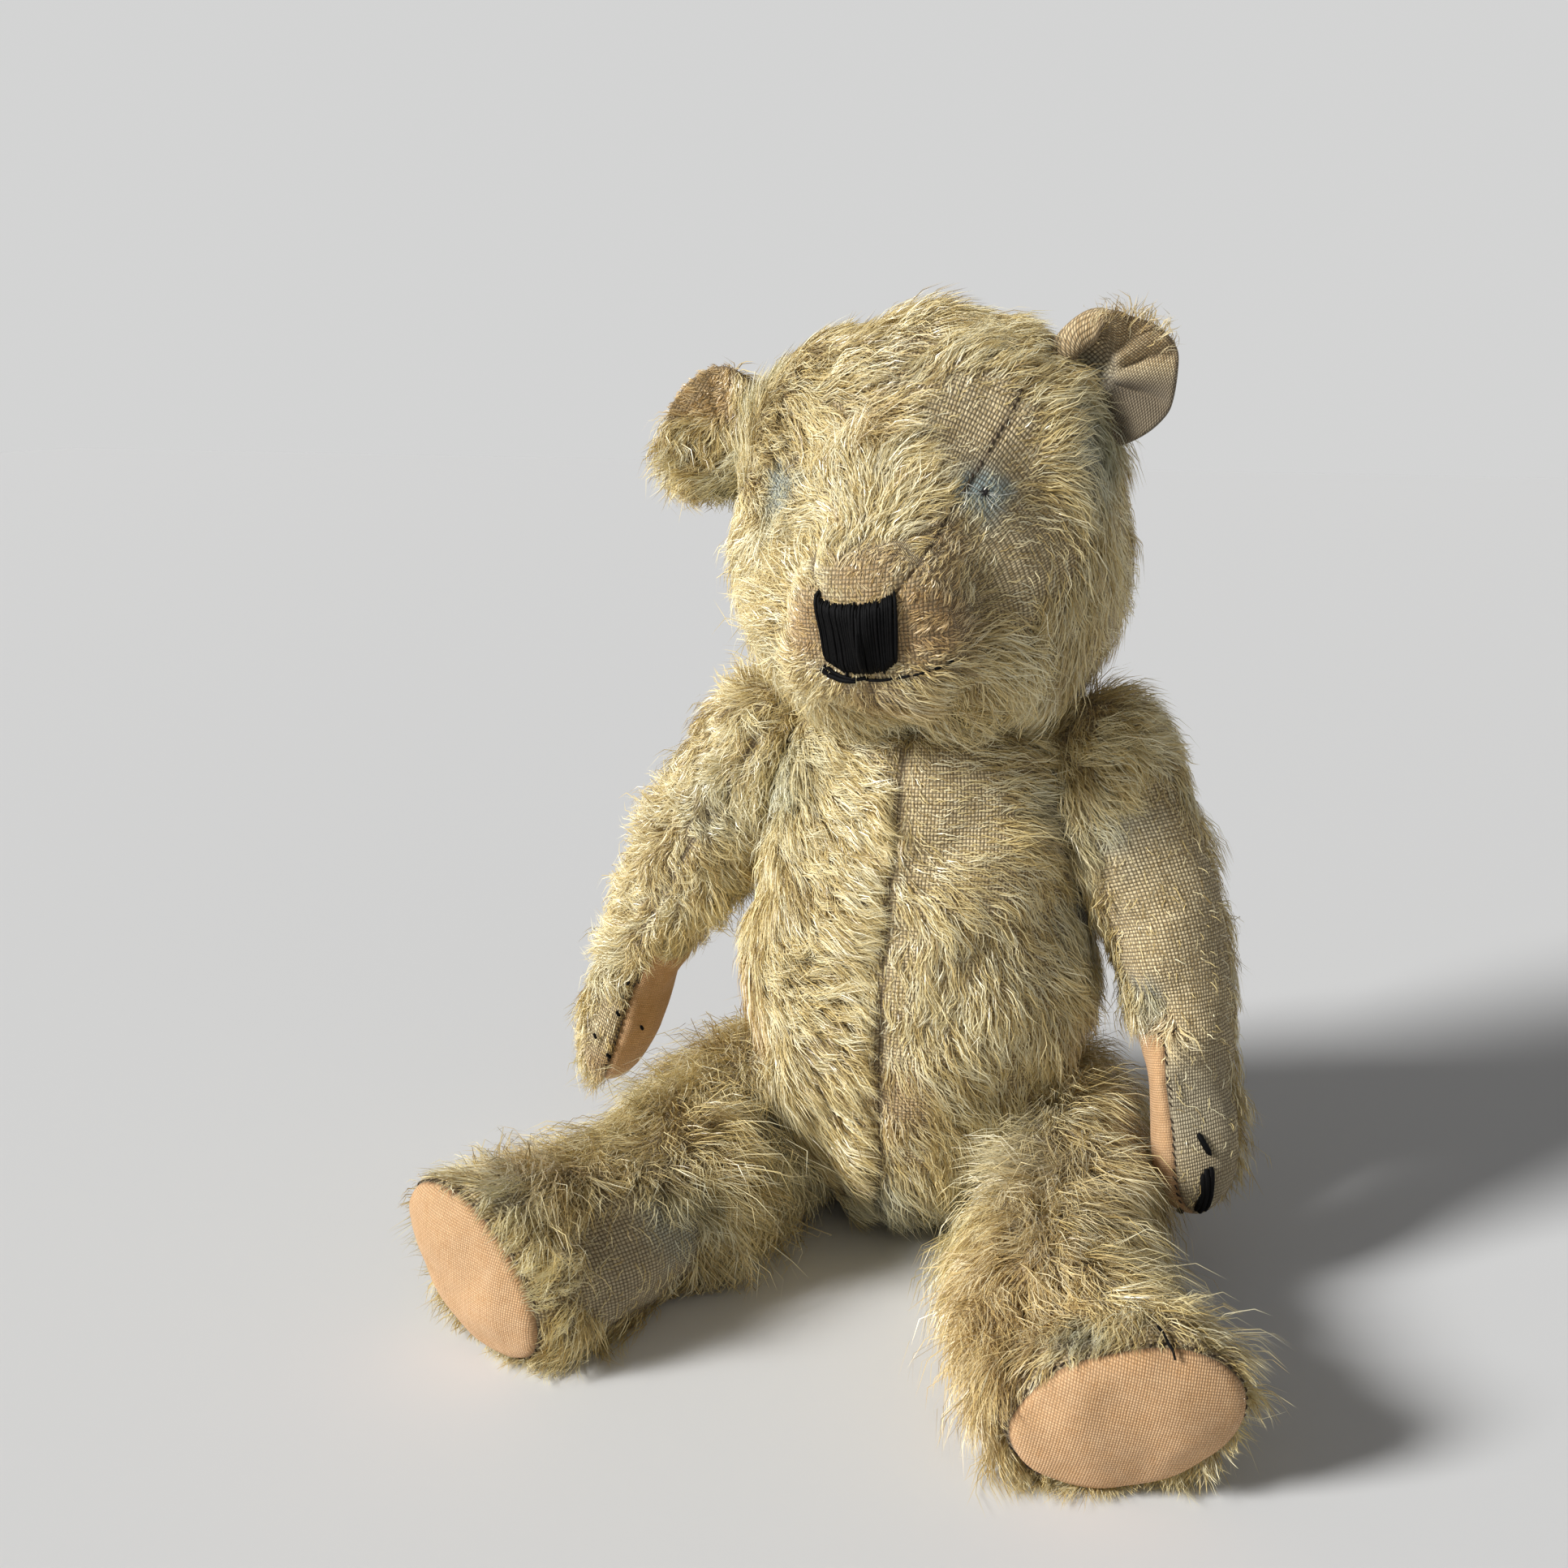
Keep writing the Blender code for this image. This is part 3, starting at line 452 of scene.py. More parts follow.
def leg_axes(side, station):
    """Directions to the toe, across and aside, which turn outwards towards the foot."""
    limb = LIMBS[f"leg_{side}"]
    toe, out = turn(HIP_TILT + (LEG_SHAPE[side][1] - HIP_TILT) * ease(station / LEG_SOLE))
    aside = unit(np.cross(UPWARD, limb.along)) * SIDES[side]
    towards_toe = np.outer(toe, UPWARD) + np.outer(out, aside)
    return towards_toe, np.outer(toe, aside) - np.outer(out, UPWARD), aside


def leg_point(side, station, angle):
    """A point on a leg, angle 90 facing the toe. Stations past the sole step in over the crowned pad."""
    limb = LIMBS[f"leg_{side}"]
    along_leg = np.minimum(station, LEG_SOLE)
    radius = np.clip(1 - (station - LEG_SOLE) / SOLE_ROWS, 0.0, 1.0)
    beyond = np.where(station > LEG_SOLE - 0.1, SOLE_PROUD + SOLE_CROWN * (1 - radius**2), 0.0)
    half_toe, half_across, shift = leg_curve(along_leg)
    opening = dome(along_leg - LEG_TOP, LEG_TOP_REACH) * radius
    toe, across, aside = leg_axes(side, along_leg)
    outward, towards_toe = turn(angle)
    offset = toe * (shift + half_toe * opening * towards_toe)[:, None]
    offset += across * (half_across * opening * outward)[:, None]
    lean = math.tan(math.radians(LEG_SHAPE[side][2])) * ease((along_leg - LEAN_START) / LEAN_RUN)
    centre = limb.start + np.outer(along_leg + beyond, limb.along)
    return centre - np.outer(lean * (offset @ aside), limb.along) + offset


for name, limb in LIMBS.items():
    print(name, "starts at", limb.start.round(1), "and runs along", limb.along.round(2))

# %% [markdown]
# ## One closed cover for each moving piece
#
# The panels of a body are sewn into one closed bag, so the cover is built as one grid: rings of points
# joined by four-sided faces, with a fan closing each end. The columns meet the seams exactly. Where a body
# rests against its joint or on the floor, it is pressed flat.

# %% Cover meshes
BODIES = ("torso", "head", "arm_left", "arm_right", "leg_left", "leg_right")
COLUMNS = {"torso": TORSO_COLUMNS, "head": HEAD_COLUMNS, "arm": ARM_COLUMNS, "leg": LEG_COLUMNS}
STATIONS = {"torso": TORSO_STATIONS, "head": HEAD_STATIONS, "arm": ARM_STATIONS, "leg": LEG_STATIONS}
ENDS = {
    "torso": (-SEAT_REACH, TORSO_TOP + NECK_REACH),
    "head": (HEAD_BACK, MUZZLE_TIP),
    "arm": (ARM_TOP, ARM_TIP),
    "leg": (LEG_TOP, LEG_SOLE + SOLE_ROWS),
}


def kind_of(body):
    """A body's kind, without its side."""
    return body.partition("_")[0]


def body_point(body, station, angle):
    """The unpressed surface of any body at a station and angle, in millimetres."""
    kind, _, side = body.partition("_")
    if kind == "torso":
        return torso_point(station, angle)
    if kind == "head":
        return head_point(station, angle)
    return (arm_point if kind == "arm" else leg_point)(side, station, angle)


RESTS = {"torso": [(joint, False) for name, joint in JOINTS.items() if name != "neck"]}
RESTS |= {"head": [(JOINTS["neck"], True)]} | {body: [(limb.joint, True)] for body, limb in LIMBS.items()}


def settled(body, points):
    """Points pressed flat against the body's joints and the floor."""
    for joint, outwards in RESTS[body]:
        points = pressed(points, joint, outwards)
    if kind_of(body) == "leg":
        points[:, 2] = np.maximum(points[:, 2], 0.0)
    return points


def new_object(name, points, faces):
    """An object at the origin from points in millimetres."""
    mesh = bpy.data.meshes.new(name)
    mesh.from_pydata([tuple(p) for p in np.asarray(points) * MM], [], [tuple(map(int, f)) for f in faces])
    mesh.shade_smooth()
    return shown(bpy.data.objects.new(name, mesh))


def store(mesh, name, values):
    """Writes one value or vector for each vertex as a named attribute."""
    values = np.asarray(values, np.float32)
    kind, label = ("FLOAT", "value") if values.ndim == 1 else ("FLOAT_VECTOR", "vector")
    mesh.attributes.new(name, kind, "POINT").data.foreach_set(label, values.ravel())


def read(mesh, name, width=1):
    """Reads a named vertex attribute back as an array."""
    values = np.empty(len(mesh.vertices) * width, np.float32)
    mesh.attributes[name].data.foreach_get("value" if width == 1 else "vector", values)
    return values.astype(float).reshape(-1, width) if width > 1 else values.astype(float)


def spots_of(mesh, normals=False):
    """Vertex places in millimetres, or vertex normals."""
    values = np.empty(len(mesh.vertices) * 3, np.float32)
    (mesh.vertex_normals if normals else mesh.vertices).foreach_get("vector" if normals else "co", values)
    return values.astype(float).reshape(-1, 3) / (1.0 if normals else MM)


def move_to(mesh, points):
    """Moves every vertex to its new place, given in millimetres."""
    mesh.vertices.foreach_set("co", (points * MM).astype(np.float32).ravel())


def closed_grid(rows, count):
    """Four-sided faces between rings, and a fan to each of the two end points that come last."""
    ring = np.arange(count)
    after = (ring + 1) % count
    faces = [(i * count + j, i * count + k, (i + 1) * count + k, (i + 1) * count + j)
             for i in range(rows - 1) for j, k in zip(ring, after)]
    faces += [(rows * count, k, j) for j, k in zip(ring, after)]
    last = (rows - 1) * count
    return faces + [(rows * count + 1, last + j, last + k) for j, k in zip(ring, after)]


def rework(mesh, change):
    """Makes a change to a mesh in Blender's mesh editing kit."""
    work = bmesh.new()
    work.from_mesh(mesh)
    change(work)
    work.to_mesh(mesh)
    work.free()


def face_outwards(mesh):
    """Turns every face of a closed mesh outwards."""
    rework(mesh, lambda work: bmesh.ops.recalc_face_normals(work, faces=work.faces))


def cover_mesh(body):
    """The closed cover of one body, each vertex storing its place on the pattern."""
    kind = kind_of(body)
    columns, stations = np.array(COLUMNS[kind]), np.array(STATIONS[kind])
    rows, count = len(stations), len(columns)
    station = np.concatenate([np.repeat(stations, count), ENDS[kind]])
    angle = np.concatenate([np.tile(columns, rows), [0.0, 0.0]])
    points = settled(body, body_point(body, station, angle))
    cover = new_object(f"{body}_cover", points, closed_grid(rows, count))
    store(cover.data, "place", np.column_stack([*turn(angle), station]))
    face_outwards(cover.data)
    return cover


COVERS = {body: cover_mesh(body) for body in BODIES}
for body, cover in COVERS.items():
    print(f"{cover.name}: {len(cover.data.polygons)} faces")

# %% [markdown]
# ## Where the seams run
#
# A seam is a line on the pattern: an angle that runs down a body, or a station that crosses it. Distances
# to the nearest seam decide where the cloth is held in, where it puckers and where the pile stays short.

# %% Seams
PAD_EDGE = 110.77
SEAM_ANGLES = {
    "torso": (-90, 90),
    "head": (GUSSET_ANGLE, -GUSSET_ANGLE, 180),
    "arm": (90, -90),
    "leg": (-90, 90),
}
GIRTH = {"torso": 340.0, "head": 370.0, "arm": 118.0, "leg": 170.0}
FAR_AWAY, TOUCHING, ON_FLOOR = 99.0, 1.5, 0.6


def seam_distance(body, station, angle):
    """About how far each place is from the nearest seam, in millimetres."""
    kind = kind_of(body)

    def beside(seam):
        return np.abs((angle - seam + 180) % 360 - 180) * GIRTH[kind] / 360

    away = [beside(seam) for seam in SEAM_ANGLES[kind]]
    if kind == "leg":
        on_sole = station > LEG_SOLE + 1
        away = [np.where(on_sole, FAR_AWAY, a) for a in away]
        away.append(np.abs(station - LEG_SOLE))
    if kind == "arm":
        inner = (angle > PAD_EDGE - 3) | (angle < -85)
        away.append(np.where(inner, np.abs(station - PAD_START), FAR_AWAY))
        away.append(np.where(station > PAD_START - 1, beside(PAD_EDGE), FAR_AWAY))
        away[0] = np.where((station > PAD_START + 2) | (body == "arm_left"), FAR_AWAY, away[0])
    return np.min(away, axis=0)


def pattern_of(mesh):
    """Station and angle of every vertex."""
    place = read(mesh, "place", 3)
    return place[:, 2], np.degrees(np.arctan2(place[:, 1], place[:, 0]))


def pressed_flat(body, points):
    """1 where a cover lies against a joint plane or the floor."""
    touching = np.zeros(len(points), bool)
    for joint in [joint for joint, _ in RESTS[body]] + ([JOINTS["neck"]] if body == "torso" else []):
        touching |= np.abs((points - joint.centre) @ joint.axis) < TOUCHING
    return touching | (points[:, 2] < ON_FLOOR)

# %% [markdown]
# ## Stuffing the covers
#
# Wood wool is rammed in until the cloth is tight, so each panel swells between its seams. Cloth simulation
# gives that: the cover starts a little small, its seams and resting places are held, and a pressure inside
# pushes the rest out. How far a point may move is capped, because a stuffed bear is firm. The skull starts
# smaller still, because long pile stands on it, and fuller at the two corners of its crown, by the ears.
# One level of subdivision then smooths each cover, and the slim arms get two.

# %% Swell the covers
SHRINK, HELD_SHRINK, SWELL_CAP, SOLE_SWELL = 1.0, 0.6, 2.4, 0.45
SKULL_SHRINK, SKULL_FRONT = 5.6, 20.0
CROWN_CORNER, CORNER_ANGLE, CORNER_WIDTH, CORNER_FRONT = 7.0, 40, 19.0, 14
PRESSURE, STIFFNESS, CLOTH_MASS, CUT_LARGER, FRAMES = 4.0, 6.0, 0.05, -0.035, 20


def skull_shrink(shrink, held, points, station, angle):
    """The head's shrinking: more at the skull's sides, and less than none at the crown's two corners."""
    sideways = 0.25 + 0.75 * np.abs(np.sin(np.radians(angle))) ** 3
    leftward = (points - HEAD_CENTRE) @ HEAD_LEFT
    sideways *= 1 + 0.5 * np.sign(leftward) * ease(np.abs(leftward) / 30.0)
    corner = bell((np.abs(angle) - CORNER_ANGLE) / CORNER_WIDTH) * ease((station + 48) / 20.0)
    corner *= CROWN_CORNER
    shrink -= corner * (1 - ease((station - CORNER_FRONT) / 30.0)) * (1 - 0.4 * ease(leftward / 30.0))
    behind = 1 - ease((station - SKULL_FRONT) / 30.0)
    return shrink + (SKULL_SHRINK - SHRINK) * behind * sideways * (1 - 0.4 * held)


def prepare_stuffing(body):
    """Shrinks a cover and pins its seams and resting places in a vertex group."""
    cover = COVERS[body]
    mesh = cover.data
    points, pattern = spots_of(mesh), pattern_of(mesh)
    held = pressed_flat(body, points) | (seam_distance(body, *pattern) < 1.0)
    shrink = np.where(held, HELD_SHRINK, 1.0) * SHRINK
    if body == "head":
        shrink = skull_shrink(shrink, held, points, *pattern)
    start = settled(body, points - spots_of(mesh, normals=True) * shrink[:, None])
    move_to(mesh, start)
    group = cover.vertex_groups.new(name="held")
    group.add([int(i) for i in np.flatnonzero(held)], 1.0, "REPLACE")
    return start


def add_pressure(cover):
    """A cloth modifier with pressure inside, no gravity, and cloth cut a little larger than its start."""
    cloth = cover.modifiers.new("stuffing", "CLOTH")
    settings = cloth.settings
    settings.vertex_group_mass = "held"
    settings.use_pressure, settings.uniform_pressure_force = True, PRESSURE
    settings.effector_weights.gravity = 0.0
    settings.quality, settings.mass = 5, CLOTH_MASS
    settings.tension_stiffness = settings.compression_stiffness = STIFFNESS
    settings.shrink_min = CUT_LARGER
    cloth.collision_settings.use_collision = False
    cloth.point_cache.frame_start, cloth.point_cache.frame_end = 1, FRAMES


def plain_mesh(thing):
    """The mesh that an object's modifiers make."""
    return bpy.data.meshes.new_from_object(thing.evaluated_get(bpy.context.evaluated_depsgraph_get()))


def smooth_once(cover):
    """Replaces a cover's mesh by one subdivided once."""
    subdivision = cover.modifiers.new("smooth", "SUBSURF")
    subdivision.levels = subdivision.render_levels = 1
    mesh = plain_mesh(cover)
    cover.modifiers.clear()
    cover.vertex_groups.clear()
    cover.data = mesh
    mesh.shade_smooth()


starts = {body: prepare_stuffing(body) for body in BODIES}
for cover in COVERS.values():
    add_pressure(cover)
for count in range(1, FRAMES + 1):
    bpy.context.scene.frame_set(count)
for body, cover in COVERS.items():
    move = spots_of(plain_mesh(cover)) - starts[body]
    reach = np.linalg.norm(move, axis=1, keepdims=True)
    move *= np.minimum(1.0, SWELL_CAP / np.maximum(reach, 1e-6))
    cover.modifiers.clear()
    if kind_of(body) == "leg":
        move *= np.where(pattern_of(cover.data)[0] > LEG_SOLE + 1, SOLE_SWELL, 1.0)[:, None]
    move_to(cover.data, settled(body, starts[body] + move))
    smooth_once(cover)
    print(f"{body}: moved up to {reach.max():.1f} mm, now {len(cover.data.polygons)} faces")
bpy.context.scene.frame_set(1)
for side in SIDES:
    smooth_once(COVERS[f"arm_{side}"])

# %% [markdown]
# ## Lumps, seam lines and puckers
#
# Wood wool packs unevenly, so the cloth over it is faintly lumpy. A sewn seam pulls a narrow valley, and
# the cloth beside it gathers in small puckers. These moves are along each point's normal.

# %% Surface detail
LUMP, LUMP_SIZE, SOLE_LUMP = 0.55, 17.0, 0.4
VALLEY, VALLEY_WIDTH, TORSO_VALLEY = 0.9, 2.0, 1.7
PUCKER, PUCKER_LENGTH, PUCKER_WIDTH = 0.28, 3.4, 4.0
WRIST, WRIST_WIDTH, WRIST_CREASE = 72, 9, 0.7


def surface_moves(body, points, station, angle):
    """How far each point of a cover moves outwards, in millimetres."""
    away = seam_distance(body, station, angle)
    on_sole = (kind_of(body) == "leg") & (station > LEG_SOLE)
    move = LUMP * drift(points, LUMP_SIZE, 11) * np.where(on_sole, SOLE_LUMP, 1.0)
    move -= VALLEY * (TORSO_VALLEY if body == "torso" else 1.0) * bell(away / VALLEY_WIDTH)
    ripple = np.sin(station * math.pi / PUCKER_LENGTH + 2 * drift(points, 12.0, 5))
    move += PUCKER * ripple * np.exp(-away / PUCKER_WIDTH) * (away > 0.8)
    if body == "arm_left":
        creases = 0.8 + WRIST_CREASE * np.sin(angle * 0.09 + station * 0.22)
        move -= bell((station - WRIST) / WRIST_WIDTH) * creases
    return move


def add_detail(body):
    """Moves a cover's points and keeps it off the joint planes and the floor."""
    mesh = COVERS[body].data
    points, normals = spots_of(mesh), spots_of(mesh, normals=True)
    move = surface_moves(body, points, *pattern_of(mesh))
    move[pressed_flat(body, points)] = 0.0
    move_to(mesh, settled(body, points + normals * move[:, None]))
    mesh.update()
    return move


for body in BODIES:
    print(f"{body}: surface moves of {np.ptp(add_detail(body)):.1f} mm in all")

# %% [markdown]
# ## Where the pile is worn away
#
# Pile wears off where a bear is held and kissed: round the nose, between the eyes, on one cheek, down the
# chest and over the front of one arm. Each worn spot is a place, a size and how much pile is left there.
# The same kind of list carries the colours: blue dye that has survived in folds and under the lost eyes,
# warm stains, and grime.

# %% Worn spots and stains
EYES = np.array(((25.9, -48.2, 248.5), (-41.0, -37.2, 247.4)))
WORN = {
    "torso": (
        ((15, -39, 153), 16, 0.14), ((2, -38, 162), 10, 0.2), ((-7, -34, 167), 10, 0.4),
        ((7, -46, 135), 8, 0.3), ((5, -52, 116), 7, 0.25), ((5, -56, 98), 7, 0.25), ((5, -57, 80), 7, 0.25),
        ((5, -57, 62), 8, 0.25), ((4, -55, 46), 7, 0.4), ((30, -44, 132), 12, 0.6), ((0, 50, 60), 18, 0.6),
        ((-54, 0, 60), 12, 0.7),
    ),
    "head": (
        ((22, -40, 264), 20, 0.03), ((14, -38, 270), 12, 0.25), ((26, -47, 249), 12, 0.05),
        ((-41, -36, 247), 10, 0.2), ((40, -42, 232), 18, 0.2), ((33, -51, 222), 15, 0.25),
        ((16, -76, 218), 16, 0.05), ((14, -72, 229), 13, 0.15), ((-2, -77, 229), 13, 0.2),
        ((-19, -75, 212), 11, 0.15), ((-5, -25, 286), 13, 0.35), ((-15, -35, 272), 12, 0.5),
        ((0, -80, 209), 18, 0.04), ((50, -20, 258), 11, 0.4), ((20, -60, 236), 12, 0.25),
        ((4, -74, 196), 10, 0.4),
    ),
    "arm_left": (
        ((76, -24, 148), 16, 0.15), ((78, -24, 140), 20, 0.1), ((84, -22, 126), 23, 0.02),
        ((87, -27, 108), 24, 0.02), ((92, -30, 90), 22, 0.03), ((93, -36, 70), 24, 0.03),
        ((95, -42, 48), 24, 0.03), ((92, -42, 30), 22, 0.03),
    ),
    "arm_right": (((-104, -17, 62), 13, 0.35), ((-112, -19, 44), 14, 0.3), ((-108, -18, 54), 10, 0.4)),
    "leg_left": (((64, -133, 38), 8, 0.7), ((60, -146, 24), 9, 0.4), ((98, -137, 44), 7, 0.4)),
    "leg_right": (
        ((-60, -117, 25), 19, 0.02), ((-53, -107, 23), 16, 0.04), ((-64, -119, 37), 12, 0.15),
        ((-50, -106, 10), 12, 0.3),
    ),
}
TUFTS = {
    "arm_left": (((77, -28, 90), 6, 0.9), ((84, -30, 85), 5, 0.6)),
    "leg_left": (((78, -140, 4), 12, 0.8),),
}
BLUE = {
    "head": ((tuple(EYES[0]), 8.5, 1.0), (tuple(EYES[1]), 9, 0.8), ((56, -14, 262), 14, 0.8),
             ((-52, -10, 268), 12, 0.6), ((0, -20, 178), 16, 0.4)),
    "torso": (((0, -40, 14), 18, 0.7), ((46, -20, 150), 12, 0.5), ((-44, -20, 152), 14, 0.6),
              ((54, -14, 110), 14, 0.5)),
    "arm_left": (((64, -14, 142), 12, 0.45), ((77, -29, 92), 6, 0.8), ((93, -38, 62), 14, 0.15)),
    "arm_right": (((-66, -14, 140), 14, 0.4),),
    "leg_left": (((36, -40, 36), 22, 0.6), ((77, -136, 43), 7, 0.7), ((48, -60, 44), 14, 0.4)),
    "leg_right": (((-36, -40, 32), 18, 0.5), ((-52, -98, 32), 13, 0.5), ((-92, -126, 46), 8, 0.5)),
}
WARM = {
    "head": (((16, -76, 215), 13, 1.0), ((-19, -75, 211), 9, 0.9), ((0, -78, 228), 9, 0.7),
             ((18, -62, 236), 8, 0.5), ((0, -66, 192), 12, 0.4), ((-12, -34, 262), 12, 0.3)),
    "torso": (((-54, -20, 66), 22, 0.8), ((6, -57, 62), 9, 0.6), ((46, -30, 40), 20, 0.4)),
    "arm_left": (((79, -30, 84), 8, 0.7), ((90, -40, 28), 9, 0.7)),
    "arm_right": (((-112, -18, 36), 10, 0.8),),
    "leg_left": (((46, -120, 30), 30, 0.45), ((60, -70, 54), 20, 0.3)),
    "leg_right": (((-94, -112, 52), 14, 0.4),),
}
GREY = {
    "arm_left": (((94, -40, 60), 20, 0.7), ((96, -42, 40), 18, 0.6)),
    "leg_right": (((-59, -115, 24), 26, 1.0),),
    "leg_left": (((60, -146, 26), 10, 0.5),),
}
EDGE, RAGGED, RAG_SIZE = 0.55, 2.2, 6.0
WORN_HEART, WORN_FADE = 0.55, 0.85
SEAM_BY_EYE = (((26, -46, 258), 20, 1.0),)


def away_from(centre, points, wander):
    """Distances from a place, made ragged."""
    return np.linalg.norm(points - np.array(centre), axis=1) + wander


def spot_field(points, spots):
    """The strongest of several round spots at each point, from 0 to 1, with ragged edges."""
    field = np.zeros(len(points))
    wander = drift(points, RAG_SIZE, 21) * RAGGED
    for centre, radius, strength in spots:
        away = away_from(centre, points, wander) - radius * (1 - EDGE)
        field = np.maximum(field, strength * (1 - ease(away / (radius * 2 * EDGE))))
    return field


def pile_left(body, points, station, angle):
    """How much pile is left at each point, from 0 to 1."""
    left = 0.86 + 0.14 * drift(points, 20.0, 31)
    wander = drift(points, RAG_SIZE, 22) * RAGGED
    for centre, radius, rest in WORN[body]:
        fade = ease((away_from(centre, points, wander) - radius * WORN_HEART) / (radius * WORN_FADE))
        left = left * (rest + (1 - rest) * fade)
    left = np.maximum(left, spot_field(points, TUFTS.get(body, ())))
    near_seam = seam_distance(body, station, angle)
    if body == "torso":
        left *= ease((near_seam - 0.6) / 1.2)
        left *= 1 - 0.48 * ease((points[:, 0] - 1) / 8.0) * ease((-points[:, 1] - 8) / 20.0)
    elif body == "head":
        left *= 1 - (0.25 + 0.65 * spot_field(points, SEAM_BY_EYE)) * (1 - ease(near_seam / 2.0))
    else:
        left *= 0.3 + 0.7 * ease(near_seam / 2.5)
    if body == "leg_right":
        left *= 0.6 + 0.4 * ease((LEG_SOLE - station - 4) / 9.0)
    if kind_of(body) == "leg":
        left *= 1 - ease((station - LEG_SOLE + 1) / 1.5)
    return np.where(pressed_flat(body, points) & (points[:, 2] > 8), 0.0, left)


example = spots_of(COVERS["torso"].data)
left = pile_left("torso", example, *pattern_of(COVERS["torso"].data))
print(f"the torso keeps {left.mean():.0%} of its pile")

# %% [markdown]
# ## Which way the pile lies
#
# Pile is combed by gravity, seams and hands. On the torso one side is swept across towards the front seam
# and the other hangs down. On the head it runs back from the nose, across the brow and down the cheeks. The
# field is a direction at every point, laid along the surface and turned a little by drifting noise.

# %% Combing
def torso_comb(points, _):
    """Across towards the front seam on its right half, and down on its left half and its back."""
    x, y, z = points.T
    front = ease((-y - 2) / 25.0)
    across = ease((1 - x) / 4.0) * ease((x + 62) / 26.0) * front
    chest = ease((x - 2) / 8.0) * ease((z - 112) / 26.0) * front
    near_seam = ease((x - seam_shift(z) + 11) / 8.0) * (x < seam_shift(z))
    sideways = across * (2.0 - 1.5 * near_seam) + chest * 1.5 + 0.3 * front * (x > 0)
    down = 0.9 - 0.1 * across - 0.45 * chest
    return np.outer(sideways, LEFTWARD) + np.outer(down, DOWNWARD)


def head_comb(points, normals):
    """Back from the nose, across the brow and crown, and down the cheeks."""
    from_centre = points - HEAD_CENTRE
    ahead, up = from_centre @ HEAD_NOSE, from_centre @ HEAD_CROWN
    muzzle = ease((ahead - 38) / 22.0)[:, None]
    top = ease((up - 4) / 26.0)[:, None] * (1 - muzzle)
    sides = (1 - top) * (1 - muzzle)
    rising = np.outer(0.45 * np.sin(from_centre @ HEAD_LEFT / 14.0), HEAD_CROWN)
    brow = HEAD_LEFT * 0.95 - HEAD_NOSE * 0.25 + rising
    cheek = DOWNWARD * 0.9 + normals * 0.25 - HEAD_NOSE * 0.15
    return unit(points - NOSE_MIDDLE) * muzzle + brow * top + cheek * sides


def limb_comb(body):
    """Down an arm, or along a leg and down its sides."""
    kind, _, side = body.partition("_")
    limb = LIMBS[body]
    if kind == "arm":
        slant = LEFTWARD * (0.45 if side == "left" else -0.1)
        return lambda points, normals: np.tile(DOWNWARD * 0.9 + slant + limb.along * 0.3, (len(points), 1))
    slant = LEFTWARD * (-0.1 if side == "left" else 0.15)
    return lambda points, normals: limb.along * 0.55 + DOWNWARD * 0.75 + slant + normals * [[0.5, 0.2, 0.0]]


COMB = {"torso": torso_comb, "head": head_comb}
COMB |= {body: limb_comb(body) for body in BODIES if "_" in body}
PILE_LENGTH = dict(zip(BODIES, (12.5, 11.0, 10.5, 10.0, 13.0, 14.0)))
PILE_RISE = dict(zip(BODIES, (0.34, 0.38, 0.5, 0.66, 0.7, 0.9)))
SWIRL = dict(zip(BODIES, (22, 34, 36, 56, 36, 38)))
FUZZ = {"torso": 0.14, "head": 0.24, "arm": 0.03, "leg": 0.06}


def turned_about(vectors, normals, degrees):
    """Tangent vectors turned about their normals."""
    cos, sin = turn(degrees)
    return vectors * cos[:, None] + np.cross(normals, vectors) * sin[:, None]


def combed(body, points, normals):
    """The unit direction that the pile lies in at every point."""
    swirl = SWIRL[body] * (drift(points, 24.0, 41) + 0.5 * drift(points, 9.0, 42))
    return turned_about(laid_flat(COMB[body](points, normals), normals), normals, swirl)


def pile_length(body, points, station, angle, left):
    """The pile's length at every point: short by seams, round the nose and on worn cloth."""
    length = PILE_LENGTH[body] * (0.34 + 0.66 * ease(left / 0.6)) * (1 + 0.28 * drift(points, 12.0, 51))
    near_seam = seam_distance(body, station, angle)
    length *= 0.55 + 0.45 * ease(near_seam / 7.0)
    if body == "torso":
        swept = (points[:, 0] < seam_shift(points[:, 2])) & (points[:, 1] < 0)
        length *= np.where(swept, 0.4 + 0.6 * ease((near_seam - 1) / 11.0), 1.0)
    if body == "head":
        length *= 0.36 + 0.64 * ease((away_from(NOSE_MIDDLE, points, 0) - 12) / 34.0)
        length *= 1 + 0.4 * ease(((HEAD_CENTRE - points) @ HEAD_CROWN + 6) / 20.0)
    if kind_of(body) == "leg":
        length *= 0.55 + 0.45 * ease((LEG_SOLE - station) / 14.0)
    if body == "leg_left":
        length *= 1 + 0.2 * ease((-(points[:, 0] - 62) + 10) / 25.0)
    return length


MUZZLE_FUZZ = (((0, -76, 214), 30, 1.0),)
BARE_CLOTH = (((18, -42, 263), 20, 1.0), ((37, -46, 228), 18, 1.0))
SEAM_WIDTH = {"torso": 1.0, "head": 0.8, "arm": 1.2, "leg": 1.2}


